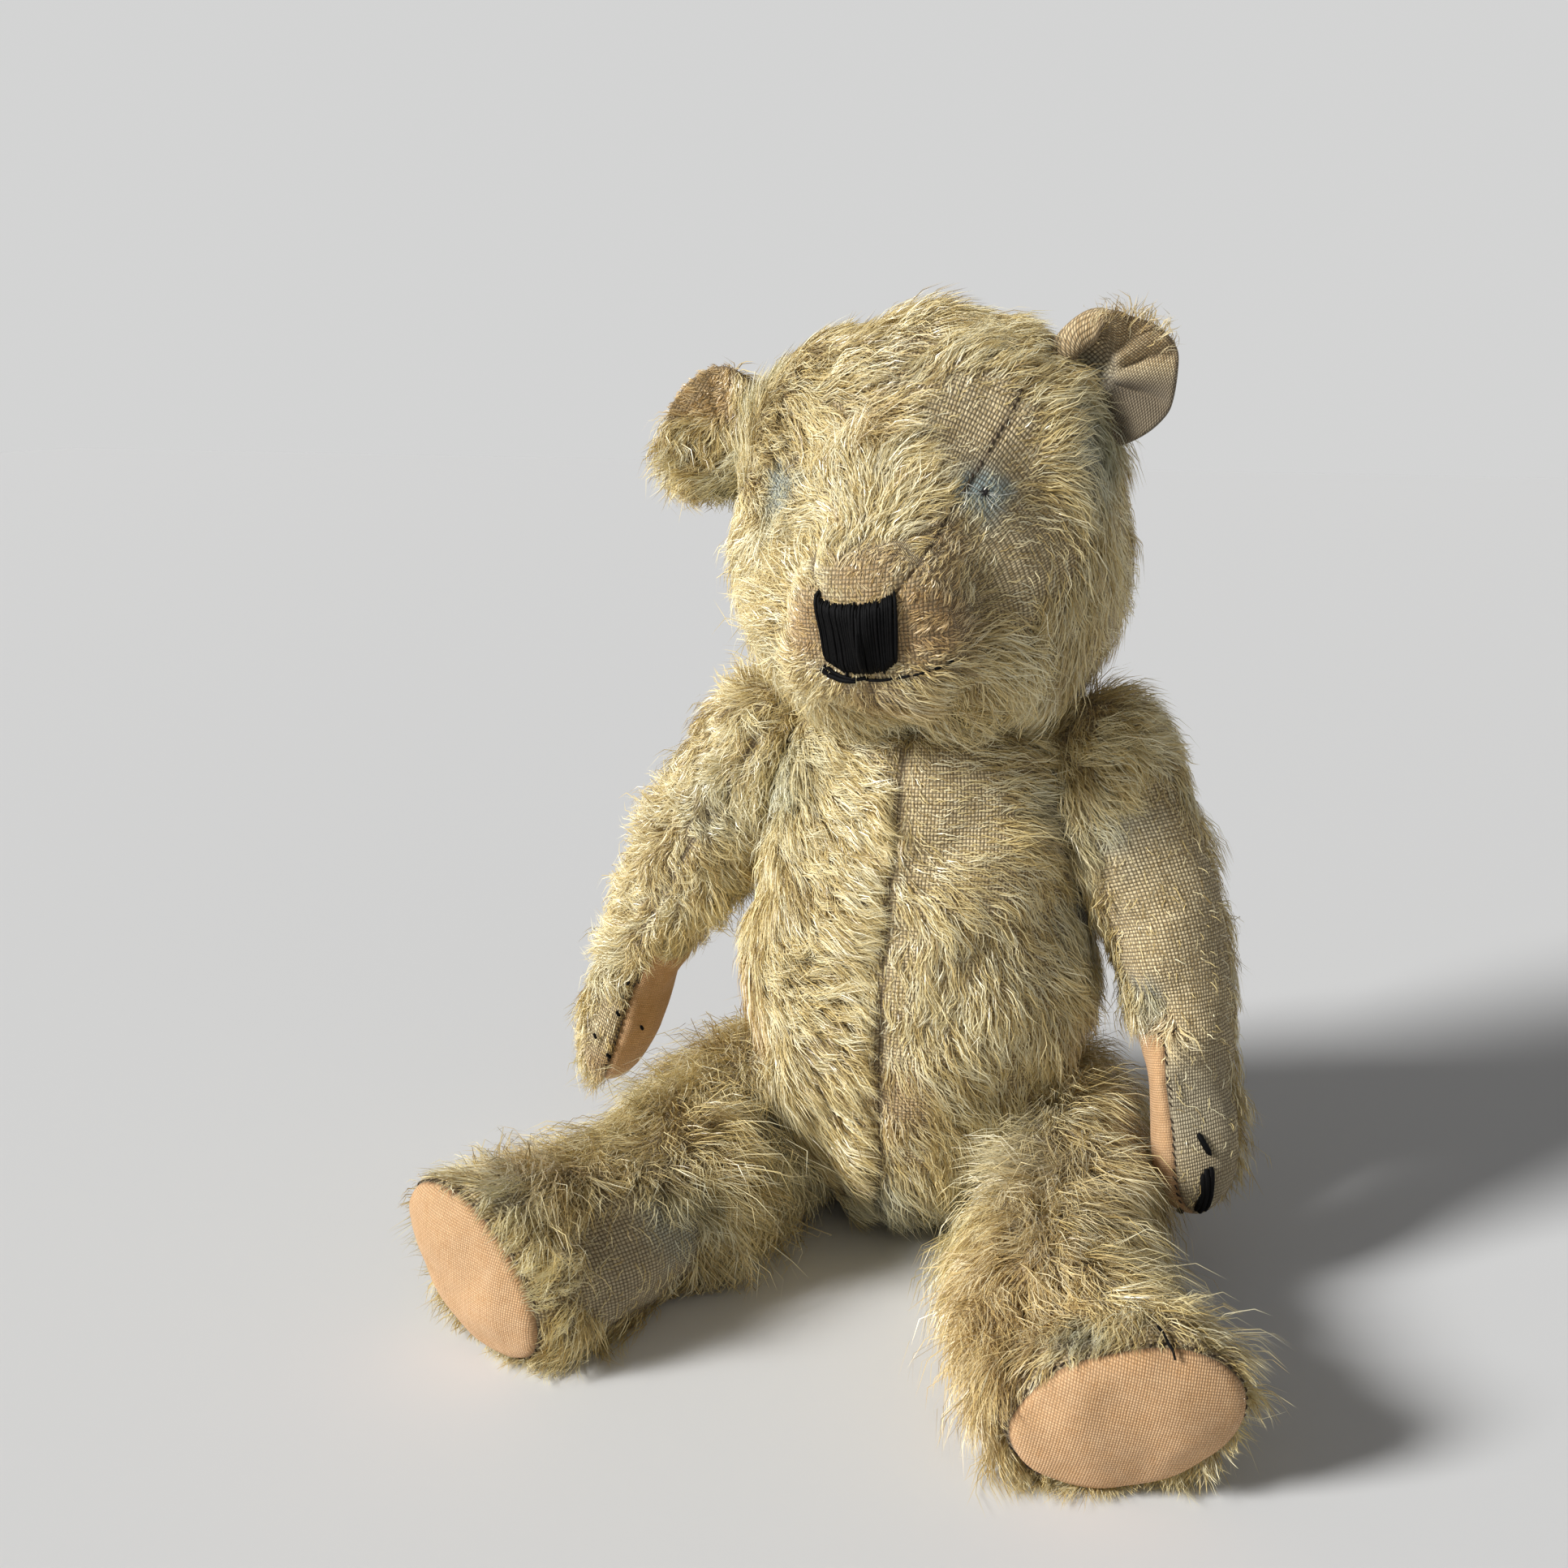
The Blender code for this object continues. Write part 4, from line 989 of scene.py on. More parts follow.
def mark_cover(body):
    """Stores pile, combing and colour fields on one cover."""
    mesh = COVERS[body].data
    points, normals = spots_of(mesh), spots_of(mesh, normals=True)
    station, angle = pattern_of(mesh)
    left = pile_left(body, points, station, angle)
    fuzz = FUZZ[kind_of(body)]
    if body == "head":
        fuzz = fuzz + 0.3 * spot_field(points, MUZZLE_FUZZ)
        fuzz -= 0.2 * spot_field(points, BARE_CLOTH)
    store(mesh, "pile", np.where(left > 0, np.maximum(left, fuzz), 0))
    store(mesh, "comb", combed(body, points, normals))
    store(mesh, "reach", pile_length(body, points, station, angle, left) * MM)
    store(mesh, "rise", PILE_RISE[body] * (1 + 0.5 * drift(points, 19.0, 61)))
    for name, spots in (("blue", BLUE), ("warm", WARM), ("grey", GREY)):
        store(mesh, name, spot_field(points, spots.get(body, ())))
    store(mesh, "grime", 0.5 + 0.5 * drift(points, 26.0, 71))
    store(mesh, "seam", bell(seam_distance(body, station, angle) / SEAM_WIDTH[kind_of(body)]))
    return left


for body in BODIES:
    left = mark_cover(body)
    print(f"{body}: pile left {left.mean():.0%}, bare on {np.mean(left < 0.2):.0%} of it")

# %% [markdown]
# ## Cutting the pads out of the covers
#
# The paw pads and soles are pieces of smooth woven cotton sewn into the plush. The cover is one closed bag
# until now, so that pads and plush swelled together. Here the faces past a pad's seam become a piece of
# their own, which gives the pad a crisp edge. Each piece also gets a cloth map, in metres, with the weave's
# threads running along and across it.

# %% Cut the pads


def finder(mesh):
    """A search tree over a cover, for laying threads on its cloth."""
    faces = [tuple(face.vertices) for face in mesh.polygons]
    return BVHTree.FromPolygons([v.co.copy() for v in mesh.vertices], faces)


CLOTH = {body: finder(cover.data) for body, cover in COVERS.items()}


def on_cloth(body, points, raised=0.2):
    """The nearest places on a body's cloth, raised along its normal, and those normals. In millimetres."""
    spots, normals = [], []
    for point in np.atleast_2d(points):
        spot, normal, _, _ = CLOTH[body].find_nearest(Vector(point) * MM)
        spots.append(np.array(spot) / MM + np.array(normal) * raised)
        normals.append(np.array(normal))
    return np.array(spots), np.array(normals)


def corners_of(mesh):
    """Which vertex each corner of each face uses."""
    corner = np.empty(len(mesh.loops), np.int32)
    mesh.loops.foreach_get("vertex_index", corner)
    return corner


def store_map(mesh, values):
    """Writes the cloth map: two distances in metres for each corner of each face."""
    layer = mesh.uv_layers.get("cloth") or mesh.uv_layers.new(name="cloth")
    layer.data.foreach_set("uv", values.astype(np.float32).ravel())


MUZZLE_MAP_START, SOLE_SLANT = 73.5, 28.0


def cloth_map(body):
    """Maps a cover round the body and along it, without a jump at the last column."""
    mesh = COVERS[body].data
    station, angle = pattern_of(mesh)
    corner = corners_of(mesh)
    first = np.empty(len(mesh.polygons), np.int32)
    mesh.polygons.foreach_get("loop_start", first)
    size = np.diff(np.append(first, len(corner)))
    turns = angle[corner]
    high = np.repeat(np.maximum.reduceat(turns, first), size)
    turns = np.where(high - turns > 180, turns + 360, turns)
    values = np.column_stack([turns / 360 * GIRTH[kind_of(body)], station[corner]]) * MM
    if body == "head":
        flat = (spots_of(mesh) - HEAD_CENTRE) @ np.column_stack([HEAD_LEFT, HEAD_CROWN]) * MM
        tip = np.repeat(np.minimum.reduceat(station[corner], first), size) > MUZZLE_MAP_START
        values = np.where(tip[:, None], flat[corner], values)
    store_map(mesh, values)


def sole_map(mesh, side):
    """Maps a sole towards the toe and across it, set on the slant."""
    points = spots_of(mesh)
    toe, across, _ = leg_axes(side, np.full(len(points), LEG_SOLE))
    u, v = (points * toe).sum(1), (points * across).sum(1)
    cos, sin = turn(SOLE_SLANT)
    store_map(mesh, np.column_stack([u * cos + v * sin, v * cos - u * sin])[corners_of(mesh)] * MM)


def keep_faces(mesh, wanted):
    """Deletes the faces of a mesh whose place on the pattern isn't wanted."""
    place = read(mesh, "place", 3)

    def cut(work):
        gone = [f for f in work.faces if not wanted(*np.mean([place[v.index] for v in f.verts], axis=0))]
        bmesh.ops.delete(work, geom=gone, context="FACES")

    rework(mesh, cut)


def part_of(cover, name, wanted):
    """A copy of a cover with only the wanted faces."""
    part = cover.copy()
    part.data = cover.data.copy()
    part.name = part.data.name = name
    keep_faces(part.data, wanted)
    return shown(part)


def cut_pad(body, name, on_pad):
    """Splits the faces of a pad from its cover and returns the pad's object."""
    pad = part_of(COVERS[body], name, on_pad)
    keep_faces(COVERS[body].data, lambda *place: not on_pad(*place))
    return pad


PAD_EDGE_COS = -0.355


def is_paw_pad(cos, sin, station):
    """True on the inner side of a paw, past the pad's seams."""
    return station > PAD_START and (cos < PAD_EDGE_COS or (cos < 0 and sin < 0))


def is_sole(cos, sin, station):
    """True past the sole's seam."""
    return station > LEG_SOLE


for body in BODIES:
    cloth_map(body)
PADS = {}
for side in SIDES:
    PADS[f"arm_{side}"] = cut_pad(f"arm_{side}", f"arm_{side}_pad", is_paw_pad)
    PADS[f"leg_{side}"] = cut_pad(f"leg_{side}", f"leg_{side}_sole", is_sole)
    sole_map(PADS[f"leg_{side}"].data, side)
for body, pad in PADS.items():
    print(f"{pad.name}: {len(pad.data.polygons)} faces cut from {COVERS[body].name}")

# %% [markdown]
# ## The ears
#
# An ear is two rounds of plush sewn together and gathered on to the head. Its shape is a disc of rings whose
# front is dished and whose back is full. One ear has lost its pile: its cloth is creased in folds that fan
# out from the base, and its inner edge has rolled forward. The other ear still has its pile.

# %% Ears
EARS = {
    "left": {"up": 56.0, "facing_in": 8.0, "rise": 6.5, "height": 20.0, "width": 18.5, "dish": -2.2,
             "folds": 1.0, "hang": 2.0, "map": 1.45, "seed": 71},
    "right": {"up": 64.0, "facing_in": 20.0, "rise": 16.5, "height": 17.5, "width": 19.0, "dish": 2.0,
              "folds": 0.25, "hang": 26.0, "map": 1.0, "seed": 83},
}
EAR_STATION = -4.0
EAR_ROWS = (0.1, 0.2, 0.3, 0.4, 0.5, 0.6, 0.7, 0.79, 0.87, 0.94, 1.0)
EAR_RIM, EAR_COLUMNS = 1.035, 60
HALF_THICK, FRONT_DOME, BACK_DOME, BOW = 1.3, 1.0, 5.2, 5.0
HOLLOW, HOLLOW_DEPTH, HOLLOW_SPREAD = (-0.3, -0.15), 4.5, 0.09
PLEATS, PLEAT_START, FRONT_PLEAT, BACK_PLEAT = 4.8, 0.9, 2.3, 1.2
CURL_MIDDLE, CURL_START, CURL_TURN, CURL_EXTRA = -158.0, 0.5, 215.0, 0.62


def ear_axes(side):
    """An ear's middle, and its directions along its width, out of the head and towards the front."""
    ear, sign = EARS[side], SIDES[side]
    half_width, half_height, shift = (float(v[0]) for v in head_ring(np.array([EAR_STATION])))
    up, across = turn(ear["up"])
    out = unit(HEAD_LEFT * sign * across + HEAD_CROWN * up)
    facing = Matrix.Rotation(math.radians(-sign * ear["facing_in"]), 3, Vector(out))
    front = np.array(facing @ Vector(HEAD_NOSE))
    middle = head_place(sign * half_width * across, shift + half_height * up, EAR_STATION)[0]
    return middle + out * ear["rise"], unit(np.cross(out, front)), out, front


def from_hollow(x, y, r):
    """Distances across and up from the hollow that an ear's pleats fan out of."""
    return r * x - HOLLOW[0], r * y - HOLLOW[1]


def folds_at(x, y, r):
    """Where the folds of a creased ear are: their phase, and how deep they run, from 0 to 1."""
    across, up = from_hollow(x, y, r)
    away, fan = np.hypot(across, up), np.arctan2(up, across)
    deep = ease((away - 0.15) / 0.35) * ease((1.9 - fan) / 0.5) * ease((fan + 1.9) / 0.6)
    return np.sin(fan * PLEATS + PLEAT_START + 0.25 * np.sin(away * 5)), deep


def ear_thickness(ear, x, y, r, front_side):
    """How far an ear's cloth stands off its middle surface: dished or full, pleated and hollowed."""
    dome_off, folds = np.maximum(1 - r**2, 0.0), ear["folds"]
    across, up = from_hollow(x, y, r)
    wave, deep = folds_at(x, y, r)
    pleat = (2 * np.abs(wave) ** 0.7 - 1.2) * deep
    if not front_side:
        return -HALF_THICK - BACK_DOME * dome_off + folds * (BACK_PLEAT * pleat)
    hollow = np.exp(-(across**2 + up**2) / HOLLOW_SPREAD)
    thick = HALF_THICK + FRONT_DOME * dome_off - ear["dish"] * dome_off**1.4
    return thick + folds * (FRONT_PLEAT * pleat - HOLLOW_DEPTH * hollow)


def ear_point(side, x, y, r, front_side):
    """Points of an ear's front or back at places on its disc, in millimetres."""
    ear = EARS[side]
    middle, along, out, front = ear_axes(side)
    thick = ear_thickness(ear, x, y, r, front_side)
    curl = ease((turn(np.degrees(np.arctan2(y, x)) - CURL_MIDDLE)[0] - 0.3) / 0.5) * ear["folds"]
    wavy = 1 + 0.02 * np.sin(np.arctan2(y, x) * 5) + CURL_EXTRA * curl
    size = np.hypot(ear["width"] * x, ear["height"] * y) * wavy
    way = unit(np.outer(ear["width"] * x, along) + np.outer(ear["height"] * y, out))
    bend = np.radians(CURL_TURN) * curl / ((1 - CURL_START) * size)
    beyond = np.maximum(r - CURL_START, 0.0) * size
    angle, slack = bend * beyond, np.maximum(bend, 1e-6)
    rolled = angle > 1e-4
    reach = np.minimum(r, CURL_START) * size + np.where(rolled, np.sin(angle) / slack, beyond)
    rise = np.where(rolled, (1 - np.cos(angle)) / slack, 0.0) + BOW * (r * x) ** 2 * (1 - curl)
    outwards = front * np.cos(angle)[:, None] - way * np.sin(angle)[:, None]
    return middle + way * reach[:, None] + np.outer(rise, front) + outwards * thick[:, None]


def make_ear(side):
    """One closed ear with a rounded rim, its cloth map laid over the disc."""
    rows = [(r, 1.0) for r in EAR_ROWS] + [(EAR_RIM, 0.5)] + [(r, 0.0) for r in reversed(EAR_ROWS)]
    x, y = turn(np.tile(np.array(steps(0, 360, EAR_COLUMNS)), len(rows)))
    r, share = np.repeat(rows, EAR_COLUMNS, axis=0).T
    r, share = np.append(r, [0.0, 0.0]), np.append(share, [1.0, 0.0])
    x, y = np.append(x, [1.0, 1.0]), np.append(y, [0.0, 0.0])
    front_points, back_points = ear_point(side, x, y, r, True), ear_point(side, x, y, r, False)
    points = front_points * share[:, None] + back_points * (1 - share[:, None])
    ear = new_object(f"ear_{side}_cover", points, closed_grid(len(rows), EAR_COLUMNS))
    face_outwards(ear.data)
    store(ear.data, "disc", np.column_stack([r * x, r * y, share]))
    wave, deep = folds_at(x, y, r)
    # The valley field marks the bottoms of the folds, which the cloth finish darkens as painted shade.
    store(ear.data, "valley", bell(wave / 0.2) * deep)
    smooth_once(ear)
    mark_ear(ear.data, side)
    return ear


def bald_ear(points, x, y, rim, middle, along, out):
    """Fields of the bald ear: a little pile on its top rim, blue at its root, warm above, and grey below as
    painted shade.
    """
    top = ease((y - 0.15) / 0.5) * ease((-x + 0.35) / 0.5)
    high = (points - middle)[:, 2]
    return {
        "pile": 0.3 * rim * top,
        "reach": (3.0 + 4.5 * top) * MM,
        "blue": 0.5 * spot_field(points, ((middle - out * 6 - along * 6, 9, 1.0),)),
        "warm": 0.45 * ease((high - 2) / 8.0),
        # The grey below is painted shade on the ear's lower half.
        "grey": ease((6 - high) / 8.0),
    }


def furry_ear(points, y, rim, middle):
    """Fields of the furry ear: full pile, worn short and warm at its outer corner, blue below."""
    warm = ease(((points - middle)[:, 2] - 1) / 6.0) * ease(((middle - points)[:, 0] + 9) / 6.0)
    return {
        "pile": np.ones(len(points)),
        "reach": (9.0 + 2.5 * rim) * (1 - 0.82 * warm) * MM,
        "blue": 0.5 * ease((-y - 0.1) / 0.5),
        "warm": warm,
        "grey": np.zeros(len(points)),
    }


def mark_ear(mesh, side):
    """Stores the pile, combing and colour fields of one ear, and its cloth map."""
    ear = EARS[side]
    points, normals = spots_of(mesh), spots_of(mesh, normals=True)
    x, y, _ = read(mesh, "disc", 3).T
    middle, along, out, front = ear_axes(side)
    r = np.hypot(x, y)
    rim = ease((r - 0.62) / 0.35)
    if side == "left":
        fields = bald_ear(points, x, y, rim, middle, along, out)
    else:
        fields = furry_ear(points, y, rim, middle)
    lay = points - (middle - out * 4.0) + DOWNWARD * ear["hang"] + front * 3.0 - LEFTWARD * 5.0
    swirl = 40 * drift(points, 12.0, 91)
    store(mesh, "comb", turned_about(laid_flat(lay, normals), normals, swirl))
    # Painted shade: the folds' valleys and the bald ear's lower half are darkened through the seam field.
    creases = ear["folds"] * np.maximum(read(mesh, "valley"), 0.85 * fields["grey"])
    fields["seam"] = np.maximum(0.8 * bell((r - 1.0) / 0.03), creases)
    # Strengthens the grey, which deepens the painted shade on the bald ear's lower half.
    fields["grey"] = 1.3 * fields["grey"]
    fields["rise"] = np.full(len(r), 0.6)
    fields["grime"] = 0.5 + 0.5 * drift(points, 12.0, 92)
    for name, values in fields.items():
        store(mesh, name, values)
    flat = np.column_stack([x * ear["width"] * (1 + 0.25 * y), y * ear["height"] + BOW * x**2])
    store_map(mesh, flat[corners_of(mesh)] * MM * ear["map"])


EAR_COVERS = {side: make_ear(side) for side in SIDES}
for side, ear in EAR_COVERS.items():
    print(f"{ear.name}: {len(ear.data.polygons)} faces, middle at", ear_axes(side)[0].round(1))

# %% [markdown]
# ## Building node trees
#
# Materials and Geometry Nodes are both trees of nodes. Short helpers keep the trees readable: one adds a node
# and fills its sockets, and the others add arithmetic, noise and groups with it.

# %% Node helpers


def put(tree, kind, inputs=None, out=0, **settings):
    """Adds a node, sets or links its inputs, and returns one of its outputs."""
    node = tree.nodes.new(kind)
    for key, value in settings.items():
        setattr(node, key, value)
    for key, value in (inputs or {}).items():
        if isinstance(value, bpy.types.NodeSocket):
            tree.links.new(value, node.inputs[key])
        else:
            node.inputs[key].default_value = value
    return node.outputs[out]


def calc(tree, operation, *values):
    """Arithmetic on numbers."""
    return put(tree, "ShaderNodeMath", dict(enumerate(values)), operation=operation)


def times(tree, value, factor, added=None):
    """A number times another, and a third added if there is one."""
    if added is None:
        return calc(tree, "MULTIPLY", value, factor)
    return calc(tree, "MULTIPLY_ADD", value, factor, added)


def vector(tree, operation, *values, scale=None):
    """Arithmetic on vectors. A dot product or a distance comes out as a number."""
    inputs = dict(enumerate(values)) | ({} if scale is None else {"Scale": scale})
    out = "Value" if operation in ("DOT_PRODUCT", "DISTANCE") else "Vector"
    return put(tree, "ShaderNodeVectorMath", inputs, out=out, operation=operation)


def shifted(tree, place, way, amount):
    """A place moved along a direction by an amount."""
    return vector(tree, "ADD", place, vector(tree, "SCALE", way, scale=amount))


def xyz(tree, value):
    """The three parts of a vector."""
    return put(tree, "ShaderNodeSeparateXYZ", {0: value}).node.outputs


def noise(tree, place, scale, detail=2.0, out="Fac"):
    """A noise texture over some coordinates."""
    return put(tree, "ShaderNodeTexNoise", {"Vector": place, "Scale": scale, "Detail": detail}, out=out)


def new_group(name, inputs, outputs, kind="Shader"):
    """A node group, its inputs and its outputs. An input is a starting value, or just a kind of socket."""
    group = bpy.data.node_groups.new(name, f"{kind}NodeTree")
    for label, value in inputs.items():
        socket = value if isinstance(value, str) else {float: "Float", int: "Int"}[type(value)]
        made = group.interface.new_socket(label, in_out="INPUT", socket_type=f"NodeSocket{socket}")
        if socket != value:
            made.default_value = value
    for label in outputs:
        socket = "NodeSocketFloat" if kind == "Shader" else "NodeSocketGeometry"
        group.interface.new_socket(label, in_out="OUTPUT", socket_type=socket)
    return group, group.nodes.new("NodeGroupInput").outputs, group.nodes.new("NodeGroupOutput").inputs

# %% [markdown]
# ## Woven cloth, mottling and round marks
#
# Three effects are shared by the finishes. A plain weave is made of threads that pass over and under, so the
# product of two sine waves gives a pillow for each crossing. Mottling is soft noise for fading and grime. A
# round mark is a ragged spot at one place, such as the painted shade in the hole that a lost eye left.

# %% Shared shader groups


def make_weave():
    """Pillows of thread at each crossing: their height, and which thread lies on top."""
    tree, given, result = new_group(
        "Plain weave", {"Map": "Vector", "Pitch": 0.0009, "Unevenness": 0.35}, ("Height", "Tone"))
    waver = vector(tree, "SUBTRACT", noise(tree, given["Map"], 260.0, 1.0, "Color"), (0.5, 0.5, 0.5))
    spread = vector(tree, "SCALE", given["Map"], scale=calc(tree, "DIVIDE", math.pi, given["Pitch"]))
    parts = xyz(tree, shifted(tree, spread, waver, times(tree, given["Unevenness"], 4.0)))
    crossing = times(tree, calc(tree, "SINE", parts["X"]), calc(tree, "SINE", parts["Y"]))
    tree.links.new(calc(tree, "POWER", calc(tree, "ABSOLUTE", crossing), 0.5), result["Height"])
    slubs = [noise(tree, vector(tree, "MULTIPLY", spread, stretch), 0.55)
             for stretch in ((1.0, 0.07, 1.0), (0.07, 1.0, 1.0))]
    slub = times(tree, calc(tree, "SUBTRACT", calc(tree, "ADD", *slubs), 1.0), 2.4)
    tone = calc(tree, "ADD", times(tree, crossing, 0.35, 0.5), slub)
    tree.links.new(put(tree, "ShaderNodeClamp", {0: tone}), result["Tone"])
    return tree


def make_mottle():
    """Soft patches from 0 to 1."""
    tree, given, result = new_group("Mottle", {"Place": "Vector", "Size": 0.02, "Contrast": 1.6}, ("Amount",))
    patches = noise(tree, given["Place"], calc(tree, "DIVIDE", 1.0, given["Size"]), 4.0)
    spread = times(tree, calc(tree, "SUBTRACT", patches, 0.5), given["Contrast"])
    amount = put(tree, "ShaderNodeClamp", {0: calc(tree, "ADD", spread, 0.5)})
    tree.links.new(amount, result["Amount"])
    return tree


def make_mark():
    """A ragged round spot of 1 at a centre, fading to 0."""
    tree, given, result = new_group(
        "Round mark", {"Place": "Vector", "Centre": "Vector", "Radius": 0.002}, ("Mask",))
    away = vector(tree, "DISTANCE", given["Place"], given["Centre"])
    away = times(tree, away, times(tree, noise(tree, given["Place"], 900.0), 1.2, 0.4))
    limits = {"From Min": given["Radius"], "From Max": times(tree, given["Radius"], 0.5)}
    tree.links.new(put(tree, "ShaderNodeMapRange", {"Value": away, **limits}), result["Mask"])
    return tree


WEAVE, MOTTLE, MARK = make_weave(), make_mottle(), make_mark()
print("shared groups:", WEAVE.name, MOTTLE.name, MARK.name)

# %% [markdown]
# ## Finishes
#
# The cloth behind the pile is tan cotton gone grey in places; on the lower half of the bald ear the grey is
# painted shade. The gaps between its threads are darkened as painted shade. Where pile still stands, the
# cloth between its roots is in shadow, so it is darker. The pile has faded to straw: every strand has a shade
# of its own, darker at the root, and a blue tint lies in the folds.

# %% Cloth and pile finishes


def new_finish(name, roughness, sheen=0.0):
    """A material with its tree, and the inputs of its Principled shader."""
    finish = bpy.data.materials.new(name)
    finish.use_nodes = True
    shader = finish.node_tree.nodes["Principled BSDF"].inputs
    for label, value in (("Roughness", roughness), ("Sheen Weight", sheen), ("Sheen Roughness", 0.5)):
        shader[label].default_value = value
    return finish, finish.node_tree, shader


def blend(tree, amount, low, high, mode="MIX"):
    """Mixes two colours by an amount that changes over the surface."""
    low, high = ((*tint, 1.0) if isinstance(tint, tuple) else tint for tint in (low, high))
    inputs = {0: amount, 6: low, 7: high}
    return put(tree, "ShaderNodeMix", inputs, out=2, data_type="RGBA", blend_type=mode)


def field(tree, name):
    """A stored value read from the surface."""
    return put(tree, "ShaderNodeAttribute", out="Fac", attribute_name=name)


def object_place(tree):
    """Places in metres on the whole object."""
    return put(tree, "ShaderNodeTexCoord", out="Object")


def woven(tree, pitch, unevenness, low, high):
    """The shared weave laid along the cloth map: its outputs, and its colour."""
    inputs = {"Map": put(tree, "ShaderNodeUVMap", uv_map="cloth"), "Pitch": pitch, "Unevenness": unevenness}
    weave = put(tree, "ShaderNodeGroup", inputs, node_tree=WEAVE).node.outputs
    return weave, blend(tree, weave["Tone"], low, high)


def mottled(tree, size, contrast=1.6):
    """The shared mottling with patches of a size in metres."""
    inputs = {"Place": object_place(tree), "Size": size, "Contrast": contrast}
    return put(tree, "ShaderNodeGroup", inputs, node_tree=MOTTLE)


def marked(tree, centre, radius):
    """The shared round mark at a place in millimetres."""
    inputs = {"Place": object_place(tree), "Centre": tuple(np.array(centre) * MM), "Radius": radius}
    return put(tree, "ShaderNodeGroup", inputs, node_tree=MARK)


def faded(tree, colour, size, depth, least):
    """Darkens a colour in soft patches."""
    shade = times(tree, mottled(tree, size), depth, least)
    grey = put(tree, "ShaderNodeCombineColor", {0: shade, 1: shade, 2: shade})
    return blend(tree, 1.0, colour, grey, mode="MULTIPLY")


def stained(tree, colour, *layers):
    """Lays tints over a colour: each is an amount or a stored value's name, a strength and a tint."""
    for amount, strength, tint in layers:
        amount = field(tree, amount) if isinstance(amount, str) else amount
        colour = blend(tree, times(tree, amount, strength), colour, tint)
    return colour


def surface(tree, shader, colour, height, distance):
    """Gives a shader its colour, and bumps it by a height."""
    tree.links.new(colour, shader["Base Color"])
    bump = put(tree, "ShaderNodeBump", {"Height": height, "Strength": 0.9, "Distance": distance},
               out="Normal")
    tree.links.new(bump, shader["Normal"])


BACKING, BACKING_LOW, BACKING_GAP_SHADE = (0.95, 0.78, 0.47), (0.44, 0.32, 0.15), (0.10, 0.07, 0.03)
GREY_CLOTH, BLUE_TINT, WARM_STAIN = (0.46, 0.40, 0.29), (0.34, 0.45, 0.45), (0.50, 0.25, 0.09)
PILE_SHADOW, SEAM_SHADOW, EYE_HOLE_SHADE = (0.27, 0.20, 0.10), (0.10, 0.065, 0.035), (0.012, 0.009, 0.008)
BACKING_PITCH, BACKING_BUMP, EYE_RADIUS = 0.00112, 0.0004, 0.0021


def make_backing_finish(name, holes=()):
    """The woven cloth that the pile grows from."""
    finish, tree, shader = new_finish(name, 0.92, sheen=0.15)
    weave, colour = woven(tree, BACKING_PITCH, 0.35, BACKING_LOW, BACKING)
    colour = faded(tree, stained(tree, colour, ("grey", 0.6, GREY_CLOTH)), 0.011, 0.3, 0.88)
    under = put(tree, "ShaderNodeClamp", {0: times(tree, field(tree, "pile"), 1.1, -0.25)})
    colour = stained(
        tree, colour, ("warm", 0.6, WARM_STAIN), ("blue", 0.95, BLUE_TINT),
        # Painted shade: the gaps between the threads are darkened.
        (calc(tree, "SUBTRACT", 1.0, weave["Height"]), 1.0, BACKING_GAP_SHADE),
        (under, 0.7, PILE_SHADOW), ("seam", 0.65, SEAM_SHADOW),
        # Painted shade: a dark spot in the hole that each lost eye left.
        *((marked(tree, centre, EYE_RADIUS), 1.0, EYE_HOLE_SHADE) for centre in holes),
    )
    surface(tree, shader, colour, weave["Height"], BACKING_BUMP)
    return finish


PILE_SHADES = (
    (0.0, (0.34, 0.23, 0.075)),
    (0.28, (0.74, 0.56, 0.21)),
    (0.58, (0.95, 0.80, 0.41)),
    (1.0, (0.98, 0.91, 0.62)),
)
WARM_PILE, BLUE_PILE, PILE_ROOT = (0.66, 0.40, 0.15), (0.40, 0.50, 0.46), (0.30, 0.215, 0.10)


def make_pile_finish():
    """Faded mohair strands, each with its own shade."""
    finish, tree, shader = new_finish("faded_mohair", 0.34, sheen=0.2)
    shader["Specular IOR Level"].default_value = 0.65
    ramp = put(tree, "ShaderNodeValToRGB", {0: field(tree, "shade")})
    marks = ramp.node.color_ramp.elements
    while len(marks) < len(PILE_SHADES):
        marks.new(0.5)
    for mark, (place, colour) in zip(marks, PILE_SHADES):
        mark.position, mark.color = place, (*colour, 1.0)
    root = calc(tree, "SUBTRACT", 1.0, field(tree, "along"))
    layers = (("warm", 0.65, WARM_PILE), ("blue", 0.6, BLUE_PILE), (root, 0.3, PILE_ROOT))
    tree.links.new(stained(tree, ramp, *layers), shader["Base Color"])
    return finish


PAD, PAD_LOW, PAD_GAP_SHADE = (0.90, 0.57, 0.29), (0.68, 0.38, 0.165), (0.32, 0.17, 0.075)
PAD_WORN, PAD_EDGE_DIRT_AND_SHADE = (0.86, 0.64, 0.42), (0.20, 0.11, 0.05)
PAD_PITCH, PAD_BUMP = 0.00072, 0.00022


